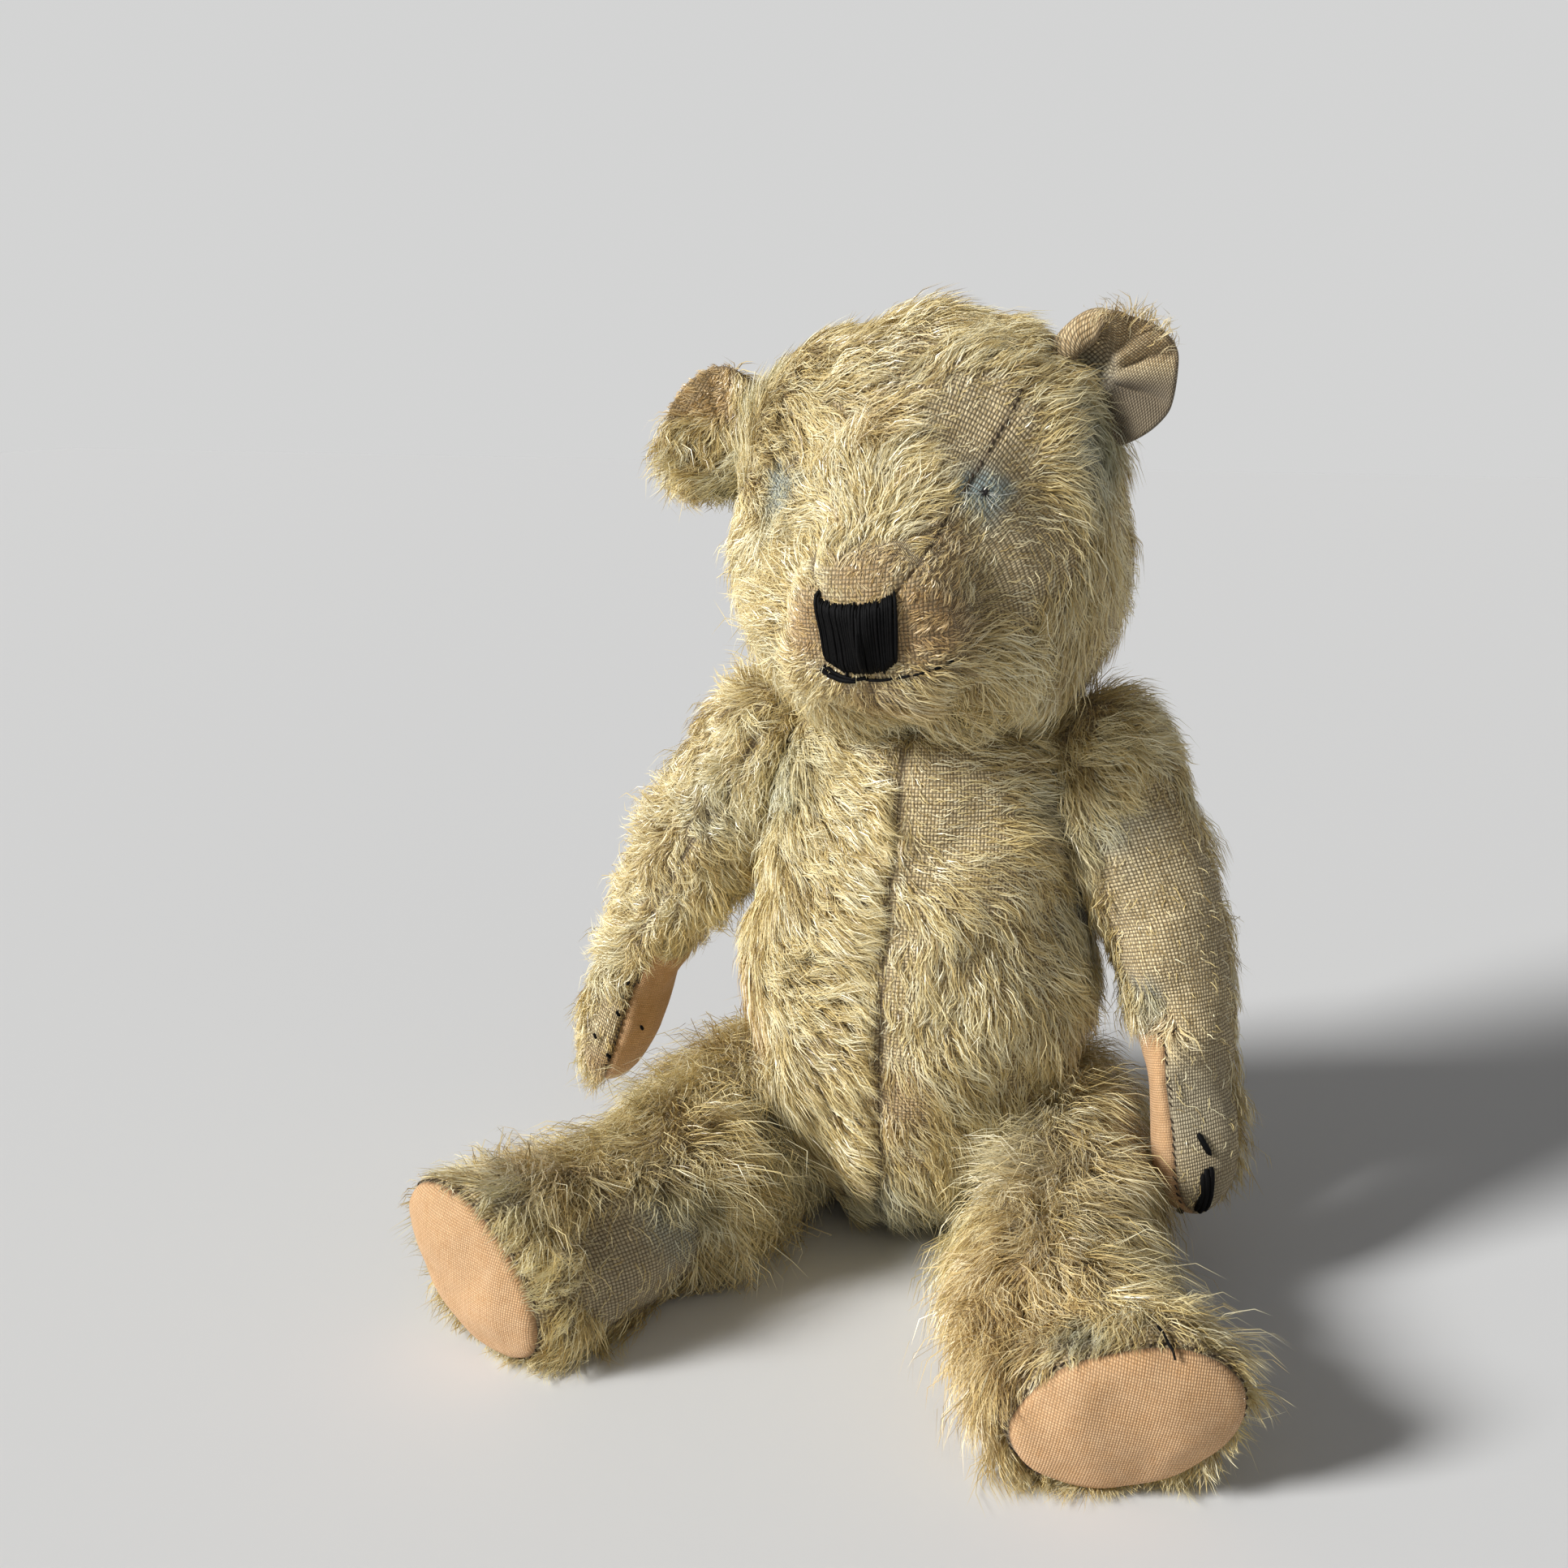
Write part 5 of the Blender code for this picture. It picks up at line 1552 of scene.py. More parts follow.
def make_pad_finish(name, stains=()):
    """Peach cotton of the paws and soles: fine weave with its gaps darkened as painted shade, soft fading, a
    dark edge of dirt and painted seam shade, and small stains.
    """
    finish, tree, shader = new_finish(name, 0.88, sheen=0.1)
    weave, colour = woven(tree, PAD_PITCH, 0.25, PAD_LOW, PAD)
    colour = stained(
        tree, faded(tree, colour, 0.014, 0.2, 0.86), (mottled(tree, 0.005, 2.6), 0.22, PAD_WORN),
        # Painted shade in the gaps between threads; the dark edge by the seam is partly dirt and partly
        # painted shade.
        (calc(tree, "SUBTRACT", 1.0, weave["Height"]), 0.75, PAD_GAP_SHADE), ("seam", 0.7, PAD_EDGE_DIRT_AND_SHADE),
        *((marked(tree, centre, radius), 0.6, tint) for centre, radius, tint in stains),
    )
    surface(tree, shader, colour, weave["Height"], PAD_BUMP)
    return finish


PAD_FINISH = make_pad_finish("peach_pad")
SOLE_FINISH = make_pad_finish("peach_sole", stains=[((-111, -139, 12), 0.0022, (0.62, 0.36, 0.06))])
BACKING_FINISH = make_backing_finish("worn_backing")
HEAD_FINISH = make_backing_finish("worn_backing_head", holes=EYES)
PILE_FINISH = make_pile_finish()
print("finishes:", ", ".join(m.name for m in bpy.data.materials))

# %% [markdown]
# ## The pile
#
# Mohair pile is thousands of long, slightly curled strands that cling together in locks. Blender's own hair
# would not survive an export, so Geometry Nodes grows the strands as narrow ribbons: points are scattered on
# the cover by how much pile is left, each takes its length and combing from the cover, and each leans in
# towards the tip of its nearest lock. The ribbon is made once, with seven corners and three faces, and is
# then bent at every point by one formula.

# %% One ribbon of pile
RIBBON_ROWS = (0.0, 0.3, 0.64)


def make_ribbon():
    """A flat ribbon that stores how far along it and which side each corner is."""
    along = [*np.repeat(RIBBON_ROWS, 2), 1.0]
    across = [-1.0, 1.0] * len(RIBBON_ROWS) + [0.0]
    corners = np.column_stack([across, along, np.zeros(len(along))])
    ribbon = new_object("ribbon", corners, [(0, 1, 3, 2), (2, 3, 5, 4), (4, 5, 6)])
    store(ribbon.data, "along", along)
    store(ribbon.data, "across", across)
    return ribbon


RIBBON = make_ribbon()
print("a ribbon has", len(RIBBON.data.polygons), "faces")

# %% The pile tree


def named(tree, name, kind="FLOAT"):
    """A stored attribute inside a geometry tree."""
    return put(tree, "GeometryNodeInputNamedAttribute", {"Name": name}, data_type=kind)


def kept(tree, points, values, kind="FLOAT"):
    """Stores values on every point, to be read after the ribbons are in place."""
    for name, value in values.items():
        inputs = {"Geometry": points, "Name": name, "Value": value}
        points = put(tree, "GeometryNodeStoreNamedAttribute", inputs, data_type=kind, domain="POINT")
    return points


def closed(tree, given, result, geometry):
    """Ends a geometry tree by giving what it made its finish."""
    inputs = {"Geometry": geometry, "Material": given["Finish"]}
    tree.links.new(put(tree, "GeometryNodeSetMaterial", inputs), result["Geometry"])
    return tree


def chance(tree, seed):
    """A random vector with parts from -1 to 1."""
    inputs = {0: (-1, -1, -1), 1: (1, 1, 1), "Seed": seed}
    return put(tree, "FunctionNodeRandomValue", inputs, data_type="FLOAT_VECTOR")


def scattered(tree, cloth, density, seed):
    """Points scattered over a cloth, so many to the square metre."""
    inputs = {"Mesh": cloth, "Density": density, "Seed": seed}
    return put(tree, "GeometryNodeDistributePointsOnFaces", inputs).node.outputs


def rooted(tree, given):
    """Points at the strands' roots, each keeping its strand's length, lean, lock, curl and shade."""
    cloth, seed = given["Geometry"], given["Seed"]
    roots = scattered(tree, cloth, times(tree, named(tree, "pile"), given["Strands"]), seed)
    locks = scattered(tree, cloth, given["Locks"], calc(tree, "ADD", seed, 7.0))["Points"]
    nearest = put(tree, "GeometryNodeSampleNearest", {"Geometry": locks})

    def of_lock(value):
        """A value of the nearest lock."""
        inputs = {"Geometry": locks, "Value": value, "Index": nearest}
        return put(tree, "GeometryNodeSampleIndex", inputs, data_type="FLOAT_VECTOR")

    place, up = put(tree, "GeometryNodeInputPosition"), roots["Normal"]
    lock_place, lock_chance = of_lock(place), of_lock(chance(tree, 3))
    own, own_parts, lock_parts = chance(tree, 5), xyz(tree, chance(tree, 6)), xyz(tree, lock_chance)
    lay = shifted(tree, named(tree, "comb", "FLOAT_VECTOR"), lock_chance, given["Stray"])
    lay = shifted(tree, lay, own, times(tree, given["Stray"], 0.6))
    upright = vector(tree, "SCALE", up, scale=vector(tree, "DOT_PRODUCT", lay, up))
    lay = vector(tree, "NORMALIZE", vector(tree, "SUBTRACT", lay, upright))
    pull = vector(tree, "SCALE", vector(tree, "SUBTRACT", lock_place, place), scale=given["Gather"])
    spread = times(tree, times(tree, own_parts["X"], 0.22, 0.95), times(tree, lock_parts["X"], 0.18, 1.0))
    shade = times(tree, lock_parts["Z"], 0.36, times(tree, own_parts["Z"], 0.42, 0.56))
    lift = xyz(tree, own)["Y"]
    raised = times(tree, calc(tree, "POWER", lift, 3.0), 1.0, times(tree, lift, 0.35, 1.0))
    points = kept(tree, roots["Points"], {"root": place, "up": up, "lay": lay, "pull": pull}, "FLOAT_VECTOR")
    return kept(tree, points, {
        "long": times(tree, named(tree, "reach"), spread),
        "phase": times(tree, lock_parts["Y"], 3.1, own_parts["Y"]),
        "lift": calc(tree, "MAXIMUM", raised, 0.25),
        "spin": xyz(tree, own)["Z"],
        "shade": calc(tree, "SUBTRACT", shade, times(tree, named(tree, "grime"), 0.24, -0.12)),
    })


def bent_place(tree, given):
    """Where each corner of a ribbon goes: up, along its lay, in a wave, and in towards its lock's tip."""
    t, long, spin = named(tree, "along"), named(tree, "long"), named(tree, "spin")
    root, up, lay, pull = (named(tree, name, "FLOAT_VECTOR") for name in ("root", "up", "lay", "pull"))
    side = vector(tree, "CROSS_PRODUCT", up, lay)
    square = times(tree, t, t)
    height = times(tree, times(tree, times(tree, square, -0.55, t), named(tree, "rise")), named(tree, "lift"))
    run = times(tree, square, 0.55, times(tree, t, 0.38))
    wave = calc(tree, "SINE", times(tree, t, 5.4, named(tree, "phase")))
    wave = times(tree, times(tree, wave, t), given["Curl"])
    spot = root
    for way, amount in ((up, height), (lay, run), (side, wave)):
        spot = shifted(tree, spot, way, times(tree, amount, long))
    spot = shifted(tree, spot, pull, calc(tree, "POWER", t, 1.3))
    flat = vector(tree, "SCALE", side, scale=calc(tree, "COSINE", spin))
    flat = shifted(tree, flat, up, calc(tree, "SINE", spin))
    half = times(tree, given["Width"], times(tree, t, -0.25, 0.5))
    parts = xyz(tree, shifted(tree, spot, flat, times(tree, half, named(tree, "across"))))
    off_floor = calc(tree, "MAXIMUM", parts["Z"], times(tree, t, 0.0015, 0.0003))
    return put(tree, "ShaderNodeCombineXYZ", {0: parts["X"], 1: parts["Y"], 2: off_floor})


def make_pile_tree():
    """Scatters ribbons over a cover and bends them into combed locks."""
    tree, given, result = new_group(
        "Pile",
        {"Geometry": "Geometry", "Ribbon": "Object", "Strands": 1.6e6, "Locks": 4.0e4, "Width": 0.00035,
         "Gather": 0.6, "Stray": 0.3, "Curl": 0.12, "Seed": 1, "Finish": "Material"},
        ("Geometry",), kind="Geometry",
    )
    ribbon = put(tree, "GeometryNodeObjectInfo", {"Object": given["Ribbon"]}, out="Geometry")
    inputs = {"Points": rooted(tree, given), "Instance": ribbon}
    ribbons = put(tree, "GeometryNodeInstanceOnPoints", inputs)
    ribbons = put(tree, "GeometryNodeRealizeInstances", {"Geometry": ribbons})
    inputs = {"Geometry": ribbons, "Position": bent_place(tree, given)}
    return closed(tree, given, result, put(tree, "GeometryNodeSetPosition", inputs))


PILE_TREE = make_pile_tree()
print("the pile tree has", len(PILE_TREE.nodes), "nodes")

# %% [markdown]
# ## Growing the pile on each panel
#
# Each panel of a cover gets its pile as one piece, so no piece has too many faces. The panel is copied,
# the tree runs on the copy, and the result is kept as a plain mesh.

# %% Grow the pile


def run_tree(thing, tree, values):
    """Runs a geometry tree on an object once and returns the plain mesh it makes."""
    modifier = thing.modifiers.new(tree.name, "NODES")
    modifier.node_group = tree
    for item in tree.interface.items_tree:
        if item.in_out == "INPUT" and item.name in values:
            modifier[item.identifier] = values[item.name]
    mesh = plain_mesh(thing)
    thing.modifiers.remove(modifier)
    return mesh


KEEP_ON_PILE = ("along", "shade", "blue", "warm", "position", "material_index", "sharp_face")


def grow_pile(name, panel, seed, style):
    """Grows pile on a panel and returns it as an object of its own."""
    mesh = run_tree(panel, PILE_TREE, {"Ribbon": RIBBON, "Seed": seed, "Finish": PILE_FINISH, **style})
    mesh.name = name
    for attribute in [a.name for a in mesh.attributes]:
        if attribute not in KEEP_ON_PILE and not attribute.startswith("."):
            mesh.attributes.remove(mesh.attributes[attribute])
    print(f"{name}: {len(mesh.polygons) // len(RIBBON.data.polygons)} strands")
    return shown(bpy.data.objects.new(name, mesh))


STYLE_INPUTS = ("Strands", "Locks", "Gather", "Stray", "Curl")
STYLES = (
    (2.2e6, 8.5e4, 0.62, 0.3, 0.15),
    (2.1e6, 8.5e4, 0.62, 0.42, 0.17),
    (2.2e6, 8.0e4, 0.6, 0.45, 0.17),
    (2.1e6, 8.0e4, 0.6, 0.6, 0.2),
    (2.0e6, 6.5e4, 0.62, 0.45, 0.15),
    (2.0e6, 6.5e4, 0.62, 0.5, 0.16),
)
PILE_STYLE = {body: dict(zip(STYLE_INPUTS, values)) for body, values in zip(BODIES, STYLES)}
HALVES = {"outer": lambda cos, sin, station: cos > 0, "inner": lambda cos, sin, station: cos < 0}
GUSSET_COS = math.cos(math.radians(GUSSET_ANGLE))
PANELS = {
    "torso": {"left": HALVES["outer"], "right": HALVES["inner"]},
    "head": {
        "gusset": lambda cos, sin, station: cos > GUSSET_COS,
        "left": lambda cos, sin, station: cos < GUSSET_COS and sin > 0,
        "right": lambda cos, sin, station: cos < GUSSET_COS and sin < 0,
    },
}
PILES = {}
for number, body in enumerate(BODIES):
    for place, wanted in PANELS.get(body, HALVES).items():
        panel = part_of(COVERS[body], "panel", wanted)
        name = f"{body}_{place}_pile"
        PILES[name] = (body, grow_pile(name, panel, 10 * number + 1, PILE_STYLE[body]))
        bpy.data.objects.remove(panel, do_unlink=True)
for side, ear in EAR_COVERS.items():
    name = f"ear_{side}_pile"
    PILES[name] = ("head", grow_pile(name, ear, EARS[side]["seed"], PILE_STYLE["head"]))
faces = sum(len(pile.data.polygons) for _, pile in PILES.values())
print("strands in all:", faces // len(RIBBON.data.polygons))

# %% [markdown]
# ## Threads: one tree for every stitched line
#
# The nose, mouth, claws and seams are all thread. One tree turns drawn lines into round threads: the lines
# come in as loose edges with a thickness at each point, and a circle is swept along them. The nose is satin
# stitch, so its threads lie side by side. The mouth and the claws are single worn stitches.

# %% The thread tree


def make_thread_tree():
    """Sweeps a circle along loose edges, as thick at each point as its stored thickness."""
    inputs = {"Geometry": "Geometry", "Sides": 6, "Finish": "Material"}
    tree, given, result = new_group("Thread", inputs, ("Geometry",), kind="Geometry")
    lines = put(tree, "GeometryNodeMeshToCurve", {"Mesh": given["Geometry"]})
    lines = put(tree, "GeometryNodeSetCurveRadius", {"Curve": lines, "Radius": named(tree, "thick")})
    inputs = {"Resolution": given["Sides"], "Radius": 1.0}
    ring = put(tree, "GeometryNodeCurvePrimitiveCircle", inputs, out="Curve")
    inputs = {"Curve": lines, "Profile Curve": ring, "Fill Caps": True}
    sweep = put(tree, "GeometryNodeCurveToMesh", inputs).node
    if "Scale" in sweep.inputs:
        tree.links.new(named(tree, "thick"), sweep.inputs["Scale"])
    joined = put(tree, "GeometryNodeRealizeInstances", {"Geometry": sweep.outputs[0]})
    return closed(tree, given, result, put(tree, "GeometryNodeSetShadeSmooth", {"Geometry": joined}))


THREAD_TREE = make_thread_tree()
# The same kind of list carries the colours: a blue tint in folds, at the joints and round the lost eyes, warm
# stains, and grime.
THREAD_END = 0.65


def make_threads(name, lines, finish=None, sides=6):
    """Threads along lines. Each line is its points in millimetres and a half-thickness."""
    points, edges, thick = [], [], []
    for line, half in lines:
        start, count = len(points), len(line)
        points += [tuple(np.array(p) * MM) for p in line]
        edges += [(start + i, start + i + 1) for i in range(count - 1)]
        taper = np.ones(count) if count < 4 else np.r_[THREAD_END, np.ones(count - 2), THREAD_END]
        thick += list(half * taper * MM)
    mesh = bpy.data.meshes.new(name)
    mesh.from_pydata(points, edges, [])
    threads = shown(bpy.data.objects.new(name, mesh))
    store(mesh, "thick", thick)
    threads.data = run_tree(threads, THREAD_TREE, {"Sides": sides, "Finish": finish or BLACK_THREAD})
    print(f"{name}: {len(lines)} threads, {len(threads.data.polygons)} faces")
    return threads


def make_thread_finish(name, dark, light, roughness, gloss):
    """Twisted cotton thread: fine slanting strands with paler worn crowns."""
    finish, tree, shader = new_finish(name, roughness)
    shader["Specular IOR Level"].default_value = gloss
    strands = noise(tree, vector(tree, "MULTIPLY", object_place(tree), (1.0, 1.0, 0.35)), 3200.0, 3.0)
    amount = times(tree, times(tree, strands, strands), mottled(tree, 0.0016, 2.2))
    surface(tree, shader, blend(tree, amount, dark, light), strands, 0.00012)
    return finish


BLACK_THREAD = make_thread_finish("black_thread", (0.0012, 0.0012, 0.0014), (0.014, 0.013, 0.012), 0.65, 0.1)
SEAM_THREAD = make_thread_finish("seam_thread", (0.04, 0.026, 0.015), (0.15, 0.10, 0.06), 0.8, 0.3)
PALE_THREAD = make_thread_finish("pale_thread", (0.55, 0.56, 0.50), (0.80, 0.80, 0.72), 0.7, 0.5)

# %% Nose, mouth and claws
NOSE_TOP, NOSE_LOW, NOSE_HALF, NOSE_LEFT = -1.4, -23.0, 12.0, -1.3
NOSE_LAYERS, NOSE_POINTS, SATIN_HALF = (34, 35), 13, 0.5
SUNK, BULGE, LAYER_RISE = 0.3, 1.7, 0.35
LOOK_FROM = 8


def cloth_height(places, away):
    """How far the head's cloth stands above places on its plain shape, evened out along them."""
    heights = []
    for place, way in zip(places, away):
        hit = CLOTH["head"].ray_cast(Vector((place + way * LOOK_FROM) * MM), Vector(-way))
        heights.append(LOOK_FROM - hit[3] / MM)
    return np.convolve(np.pad(heights, 2, mode="edge"), np.full(5, 0.2), "valid")


def satin_stitch(u, layer, rng):
    """One thread of the nose, from its top edge to its bottom. Across the nose u goes from -1 to 1."""
    top = NOSE_TOP + 2.2 * abs(u) ** 2.5 + (1.6 if u < -0.9 else 0.0) + rng.normal(0, 0.35)
    low = NOSE_LOW + 3.0 * abs(u) ** 3.2 + rng.normal(0, 0.3)
    t = np.linspace(0, 1, NOSE_POINTS)
    up = top + (low - top) * t
    narrow = 1 - 0.10 * t**2
    left = NOSE_LEFT + (NOSE_HALF * u) * narrow + 0.5 * np.sin(math.pi * t) * rng.normal(0.3, 0.5)
    base = head_front(left, up)
    away = unit(head_front(left, up, 1.0) - base)
    end = np.minimum(t, 1 - t) * NOSE_POINTS
    raised = cloth_height(base, away) - SUNK + BULGE * ease(end / 1.6) + LAYER_RISE * layer
    return base + away * raised[:, None]


def nose_threads():
    """Satin stitches side by side in two layers."""
    rng = np.random.default_rng(7)
    lines = []
    for layer, count in enumerate(NOSE_LAYERS):
        for i in range(count):
            u = -1 + 2 * (i + 0.5 * layer) / (count - 1 + 0.5 * layer)
            u = float(np.clip(u + rng.normal(0, 0.012), -1, 1))
            lines.append((satin_stitch(u, layer, rng), SATIN_HALF))
    return lines


def resampled(places, count):
    """Evenly counted points on straight lines through a few places."""
    places = np.array(places, float)
    t, s = np.linspace(0, 1, len(places)), np.linspace(0, 1, count)
    return np.column_stack([np.interp(s, t, column) for column in places.T])


def on_muzzle(places, raised):
    """A thread laid on the muzzle through a few places given by their left and up distances."""
    return on_cloth("head", head_front(*resampled(places, 9).T), raised)[0]


def on_paw(body, places, raised):
    """A thread laid on a body's cloth through a few places."""
    return on_cloth(body, resampled(places, 7), raised)[0]


MOUTH_RISE = 0.8
MOUTH = (
    (((-14.2, -21.2), (-12, -23), (-8, -24.4), (-3.5, -24.9)), 0.85),
    (((-13, -20.4), (-9.5, -22.8), (-4, -24.2), (1, -24.4)), 0.6),
    (((-1, -25), (3, -24.9), (7.5, -24.3)), 0.5),
    (((8.6, -24.2), (12.5, -23.4)), 0.42),
    (((13.4, -23.3), (18, -22.2)), 0.42),
    (((18.8, -21.9), (23, -20.4)), 0.5),
    (((-6, -21.5), (-6.6, -24.6)), 0.5),
)
CLAW_RISE = {"arm_left": 0.7, "arm_right": 1.6, "leg_left": 1.6}
CLAWS = {
    "arm_left": (
        (((97.5, -41.2, 56), (99.5, -41.8, 53), (101.4, -42, 50)), 0.95),
        (((98.4, -41.6, 54.8), (100.2, -42.2, 52.4), (101.9, -42.2, 49.8)), 0.6),
        (((102.4, -43.6, 46.5), (102, -43.4, 40), (100.8, -42.2, 31)), 1.15),
        (((101, -44.4, 46), (100.6, -44, 38), (99.4, -42.8, 30)), 1.15),
        (((99.8, -44.6, 44.2), (99.4, -44.2, 38), (98, -43.2, 31.5)), 0.95),
        (((86, -41, 39.2), (86.7, -41, 37.8)), 0.6),
        (((93, -41.8, 30.4), (94.3, -41.6, 29.2)), 0.7),
        (((92.4, -42, 29.6), (93.9, -41.8, 28.2)), 0.6),
    ),
    "arm_right": (
        (((-103.2, -16.5, 70.8), (-104, -16.6, 69.4)), 0.55),
        (((-107.8, -17.9, 59.4), (-107, -18, 57.6)), 0.6),
        (((-101.2, -13.6, 53), (-100.2, -13.4, 51.2)), 0.6),
        (((-116.2, -19.2, 50), (-115.2, -19.4, 48.2)), 0.6),
        (((-111.6, -19.5, 43.2), (-110.4, -19.6, 41.2)), 0.65),
        (((-105.6, -18, 65.4), (-105, -18.2, 64.2)), 0.45),
    ),
    "leg_left": (
        (((94, -133.9, 46.4), (97.2, -137.6, 44.8), (99.3, -140.1, 43)), 0.45),
        (((111.6, -129.4, 36.6), (112.8, -128.6, 34.4)), 0.6),
    ),
}
NOSE = make_threads("nose_threads", nose_threads())
MOUTH_LINES = [(on_muzzle(line, half * MOUTH_RISE), half) for line, half in MOUTH]
MOUTH_STITCHES = make_threads("mouth_threads", MOUTH_LINES)
CLAW_THREADS = {
    body: make_threads(f"{body}_claws", [(on_paw(body, line, CLAW_RISE[body]), half) for line, half in lines])
    for body, lines in CLAWS.items()
}

# %% [markdown]
# ## Seam stitches and loose threads
#
# Each seam is closed by small slanting stitches of dark thread. They follow the seam's path over the cover,
# so the path is walked at an even spacing and each stitch crosses it at a slant. Where the eyes were, a few
# pale ends of thread still stand out of the felted cloth.

# %% Seams and loose threads
STITCH_PITCH, STITCH_HALF, STITCH_REACH = 2.6, 0.26, 0.85
STITCH_SLANT, STITCH_RISE, LOST = 0.45, 0.22, 0.12


def seam_line(body, stations, angles, raised=0.1):
    """Evenly spaced places and normals along a seam that runs down a body or round it."""
    stations, angles = np.broadcast_arrays(np.asarray(stations, float), np.asarray(angles, float))
    points = on_cloth(body, settled(body, body_point(body, stations, angles)))[0]
    length = np.r_[0, np.cumsum(np.linalg.norm(np.diff(points, axis=0), axis=1))]
    marks = np.arange(STITCH_PITCH / 2, length[-1], STITCH_PITCH)
    even = np.column_stack([np.interp(marks, length, column) for column in points.T])
    return on_cloth(body, even, raised)


def stitches_along(spots, normals, rng):
    """Short slanting stitches that cross a seam line, a few of them lost."""
    lines = []
    along = unit(np.gradient(spots, axis=0))
    for spot, normal, way in zip(spots, normals, along):
        if rng.random() < LOST:
            continue
        reach = way * STITCH_REACH + np.cross(normal, way) * STITCH_SLANT * rng.normal(1, 0.3)
        reach *= rng.normal(1, 0.12)
        rise = normal * STITCH_RISE
        line = [spot - reach, spot - reach * 0.4 + rise, spot + reach * 0.4 + rise, spot + reach]
        lines.append((line, STITCH_HALF * rng.normal(1, 0.1)))
    return lines


SEAMS = {
    "torso": ((np.linspace(8, 168, 70), -90, -0.5), (np.linspace(8, 168, 70), 90, -0.3)),
    "head": ((np.linspace(12, 66, 40), GUSSET_ANGLE), (np.linspace(-40, 60, 50), 180)),
    "arm": (
        (np.linspace(20, 132, 50), -90),
        (np.linspace(PAD_START, 134, 40), PAD_EDGE),
        (PAD_START, np.linspace(90, 268, 20)),
    ),
    "leg": ((LEG_SOLE - 0.6, np.linspace(0, 360, 61)),),
}


def seam_threads(seed, body):
    """All the seam stitches of one body."""
    rng = np.random.default_rng(seed)
    return [line for seam in SEAMS[kind_of(body)] for line in stitches_along(*seam_line(body, *seam), rng)]


SEAM_THREADS = {
    body: make_threads(f"{body}_seam_threads", seam_threads(60 + i, body), SEAM_THREAD, sides=5)
    for i, body in enumerate(BODIES)
}


def eye_wisps():
    """Loose pale ends of thread that curl out of the cloth round the lost eyes."""
    rng = np.random.default_rng(17)
    lines = []
    for eye, count in zip(EYES, (9, 5)):
        spot, normal = (v[0] for v in on_cloth("head", eye, 0.3))
        for _ in range(count):
            way = square_to(unit(rng.normal(size=3)), normal)
            side = np.cross(normal, way) * rng.uniform(-0.7, 0.7)
            length, start = rng.uniform(3.5, 8.0), rng.uniform(0.6, 2.6)
            t = np.linspace(0, 1, 8)[:, None]
            line = spot + way * (start + length * t) + side * length * t**2 + normal * (0.9 * np.sin(3.0 * t))
            lines.append((line, rng.uniform(0.08, 0.14)))
    return lines


WISPS = make_threads("eye_threads", eye_wisps(), PALE_THREAD, sides=4)

# %% [markdown]
# ## Telling the frame what each piece is
#
# Every piece moves with a body, names the frame's solids that it stands for, and takes its finish from one
# of the record's materials. The covers and pads are stuffed, so each is declared as padded.

# %% Ride and hide the solids they stand for


PLUSH_PANELS = {body: (f"{body}_outer_panel", f"{body}_inner_panel") for body in LIMBS}
PLUSH_PANELS["torso"] = ("torso_panel_left", "torso_panel_right")
PLUSH_PANELS["head"] = ("head_gusset", "head_side_left", "head_side_right")


def dress(piece, finish):
    """Makes one finish the only one on a piece."""
    piece.data.materials.clear()
    piece.data.materials.append(finish)


for body, cover in COVERS.items():
    dress(cover, HEAD_FINISH if body == "head" else BACKING_FINISH)
    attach(cover, body)
    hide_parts(*PLUSH_PANELS[body], f"{body}_stuffing")
for name, (body, pile) in PILES.items():
    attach(pile, body)
for body, pad in PADS.items():
    dress(pad, SOLE_FINISH if body == "leg_right" else PAD_FINISH)
    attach(pad, body)
    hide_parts(f"{body}_paw_pad" if body.startswith("arm") else f"{body}_foot_pad")
for side, ear in EAR_COVERS.items():
    dress(ear, BACKING_FINISH)
    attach(ear, "head")
    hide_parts(f"ear_{side}_front", f"ear_{side}_back")
for piece, node in ((NOSE, "nose_stitching"), (MOUTH_STITCHES, "mouth_stitching")):
    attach(piece, "head")
    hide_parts(node)
for threads in (CLAW_THREADS, SEAM_THREADS):
    for body, piece in threads.items():
        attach(piece, body)
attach(WISPS, "head")
bpy.data.objects.remove(RIBBON, do_unlink=True)

# %% [markdown]
# ## The joint hardware
#
# Inside, each joint is two hardboard discs, two steel washers and a steel pin bent over at its ends. Their
# shapes in the frame are right, so they stay and only get better finishes: pressed fibre for the discs, and
# drawn steel gone dull with a bloom of rust for the rest.

# %% Discs, washers and pins


def make_hardboard():
    """Pressed brown fibre with soft blotches."""
    finish, tree, shader = new_finish("pressed_fibre", 0.85)
    fibres = noise(tree, object_place(tree), 2600.0, 6.0)
    colour = blend(tree, fibres, (0.10, 0.055, 0.028), (0.26, 0.16, 0.085))
    colour = stained(tree, colour, (mottled(tree, 0.006), 0.4, (0.15, 0.09, 0.05)))
    surface(tree, shader, colour, fibres, 0.0001)
    return finish


def make_steel():
    """Drawn steel gone dull, with a bloom of rust."""
    finish, tree, shader = new_finish("dull_steel", 0.42)
    shader["Metallic"].default_value = 1.0
    drawn = noise(tree, vector(tree, "MULTIPLY", object_place(tree), (1.0, 1.0, 0.1)), 4000.0)
    rust = mottled(tree, 0.003, 3.0)
    colour = blend(tree, times(tree, rust, 0.5), (0.46, 0.45, 0.43), (0.23, 0.12, 0.07))
    tree.links.new(times(tree, rust, 0.35, 0.35), shader["Roughness"])
    surface(tree, shader, colour, drawn, 0.00004)
    return finish


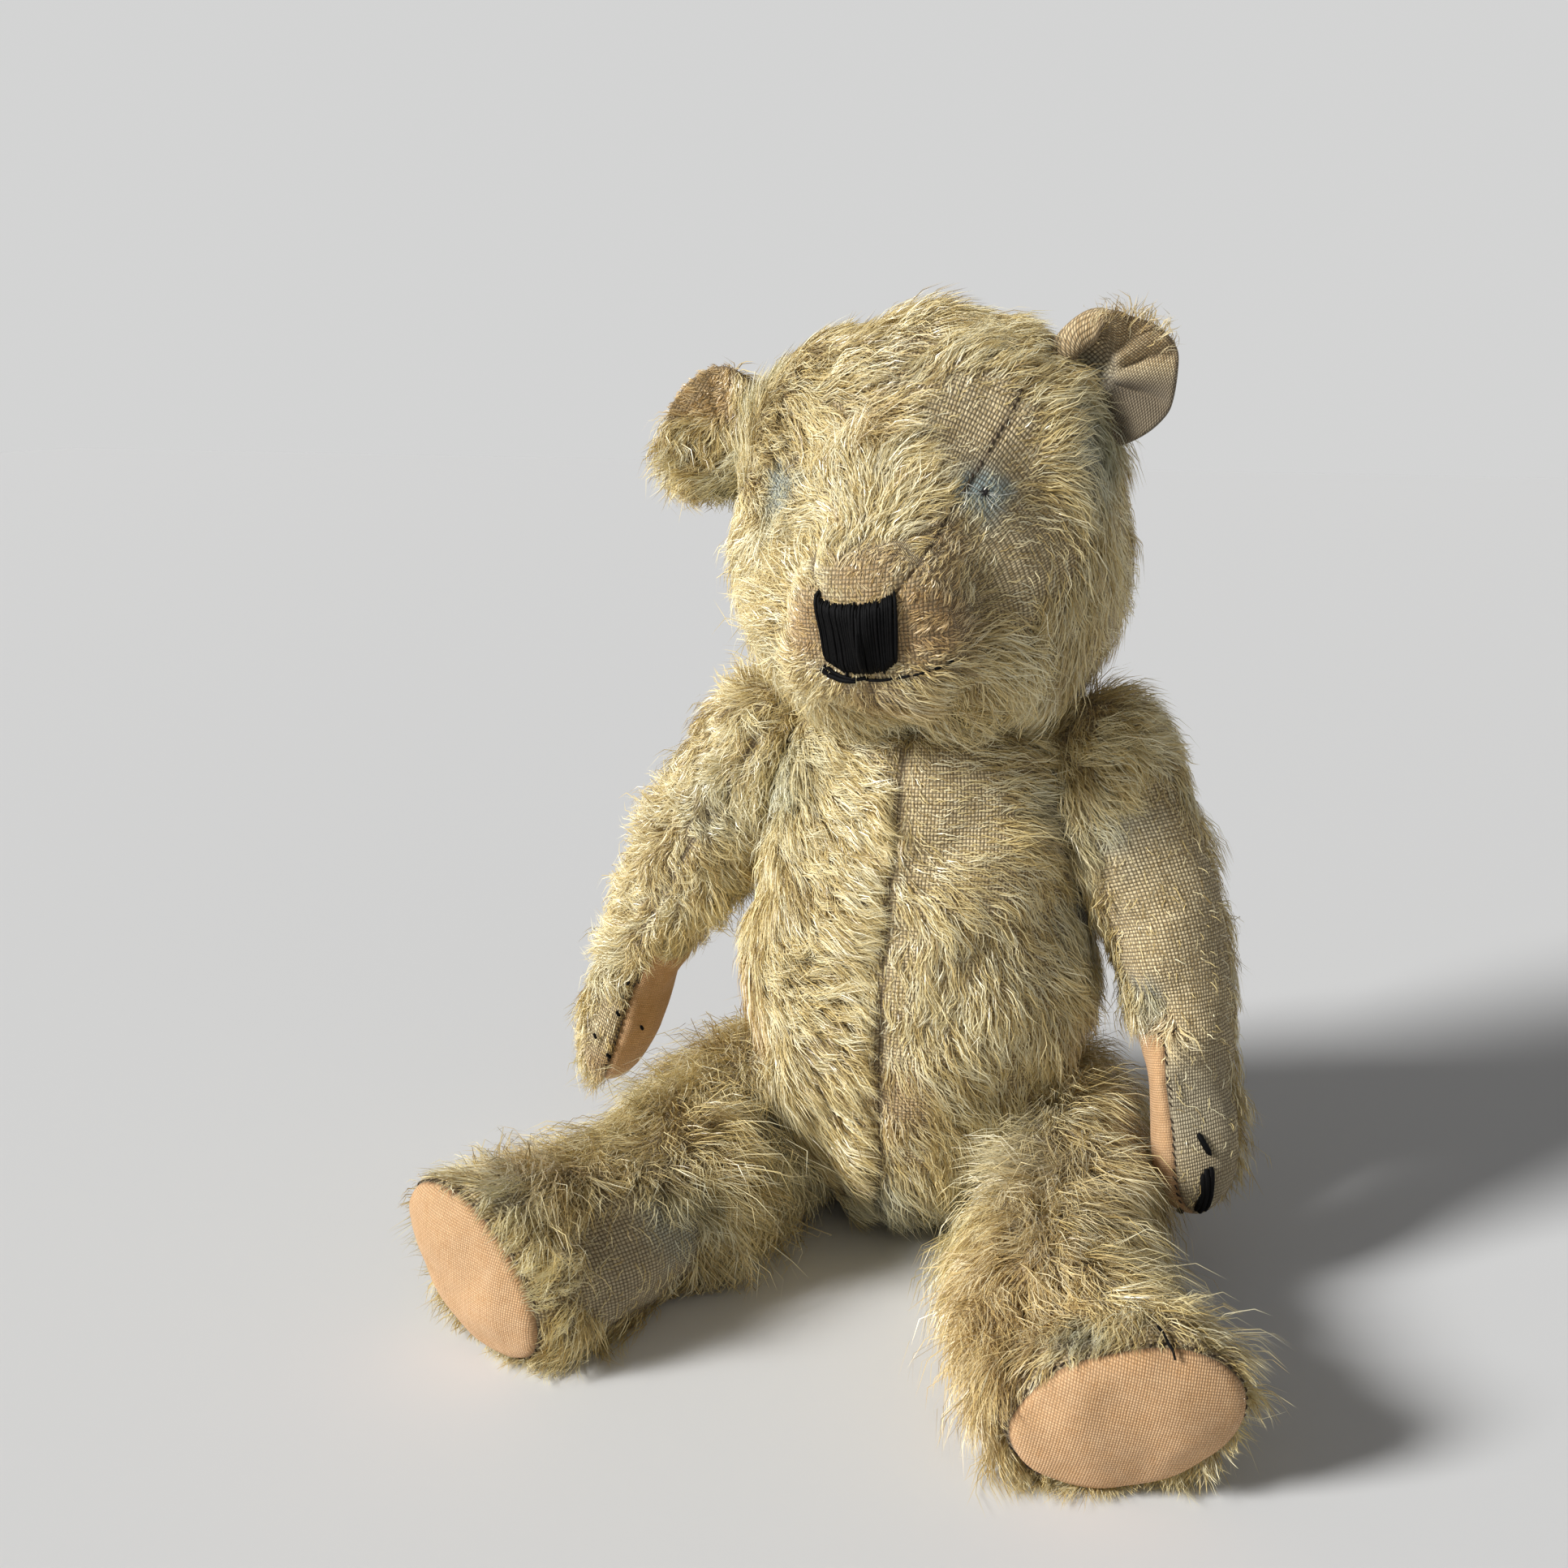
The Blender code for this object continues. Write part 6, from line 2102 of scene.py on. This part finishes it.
HARDBOARD, STEEL = make_hardboard(), make_steel()
hardware = [node for node in frame["nodes"] if node.endswith(("_disc", "_washer", "_pin"))]
for node in hardware:
    for slot in bpy.data.objects[node].material_slots:
        slot.material = HARDBOARD if node.endswith("_disc") else STEEL
print("hardware parts finished:", len(hardware))

# %% [markdown]
# ## Floor, light and background
#
# The bear sits on a plain pale floor under soft studio light. A large soft lamp on its right side models
# the pile, a weaker one fills the other side, and a pale sky lights the rest.

# %% Studio
FLOOR_HALF = 4e3
KEY_PLACE, KEY_SPREAD, KEY_POWER = (-0.75, -0.57, 0.54), 16.0, 4.3
FILL_PLACE, FILL_SPREAD, FILL_POWER = (0.75, -0.75, 0.45), 60.0, 0.08
SKY, SKY_STRENGTH, BACKDROP = (0.92, 0.92, 0.93), 0.15, (0.655, 0.657, 0.655)


def make_lamp(name, place, spread, power):
    """A distant soft lamp that shines on the bear from a place; its spread is in degrees."""
    lamp = shown(bpy.data.objects.new(name, bpy.data.lights.new(name, "SUN")))
    lamp.location = place
    lamp.rotation_euler = (-Vector(place)).to_track_quat("-Z", "Y").to_euler()
    lamp.data.angle = math.radians(spread)
    lamp.data.energy = power


corners = [(x * FLOOR_HALF, y * FLOOR_HALF, 0.0) for x, y in ((-1, -1), (1, -1), (1, 1), (-1, 1))]
floor = new_object("floor", corners, [(0, 1, 2, 3)])
pale, _, shader = new_finish("pale_floor", 0.7)
shader["Base Color"].default_value = (0.76, 0.76, 0.755, 1.0)
floor.data.materials.append(pale)
floor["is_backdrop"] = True
make_lamp("key", KEY_PLACE, KEY_SPREAD, KEY_POWER)
make_lamp("fill", FILL_PLACE, FILL_SPREAD, FILL_POWER)
world = bpy.data.worlds.new("studio")
bpy.context.scene.world = world
world.use_nodes = True
sky = world.node_tree
light_path = sky.nodes.new("ShaderNodeLightPath").outputs
seen = calc(sky, "MAXIMUM", light_path["Is Camera Ray"], light_path["Is Glossy Ray"])
seen = calc(sky, "MAXIMUM", seen, light_path["Is Transmission Ray"])
background = sky.nodes["Background"].inputs
sky.links.new(blend(sky, seen, SKY, BACKDROP), background["Color"])
sky.links.new(times(sky, seen, 1.0 - SKY_STRENGTH, SKY_STRENGTH), background["Strength"])
bpy.context.scene.view_settings.view_transform = "Standard"

# %% [markdown]
#
# The dressed bear may stand a little proud of its frame, because pile does. Both boxes are printed.

# %% Finish
VISUAL_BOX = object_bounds()
for name, box in (("frame", CAD_BOX), ("dressed", VISUAL_BOX)):
    print(name, [f"{(high - low) / MM:.0f} mm" for low, high in zip(*box)])
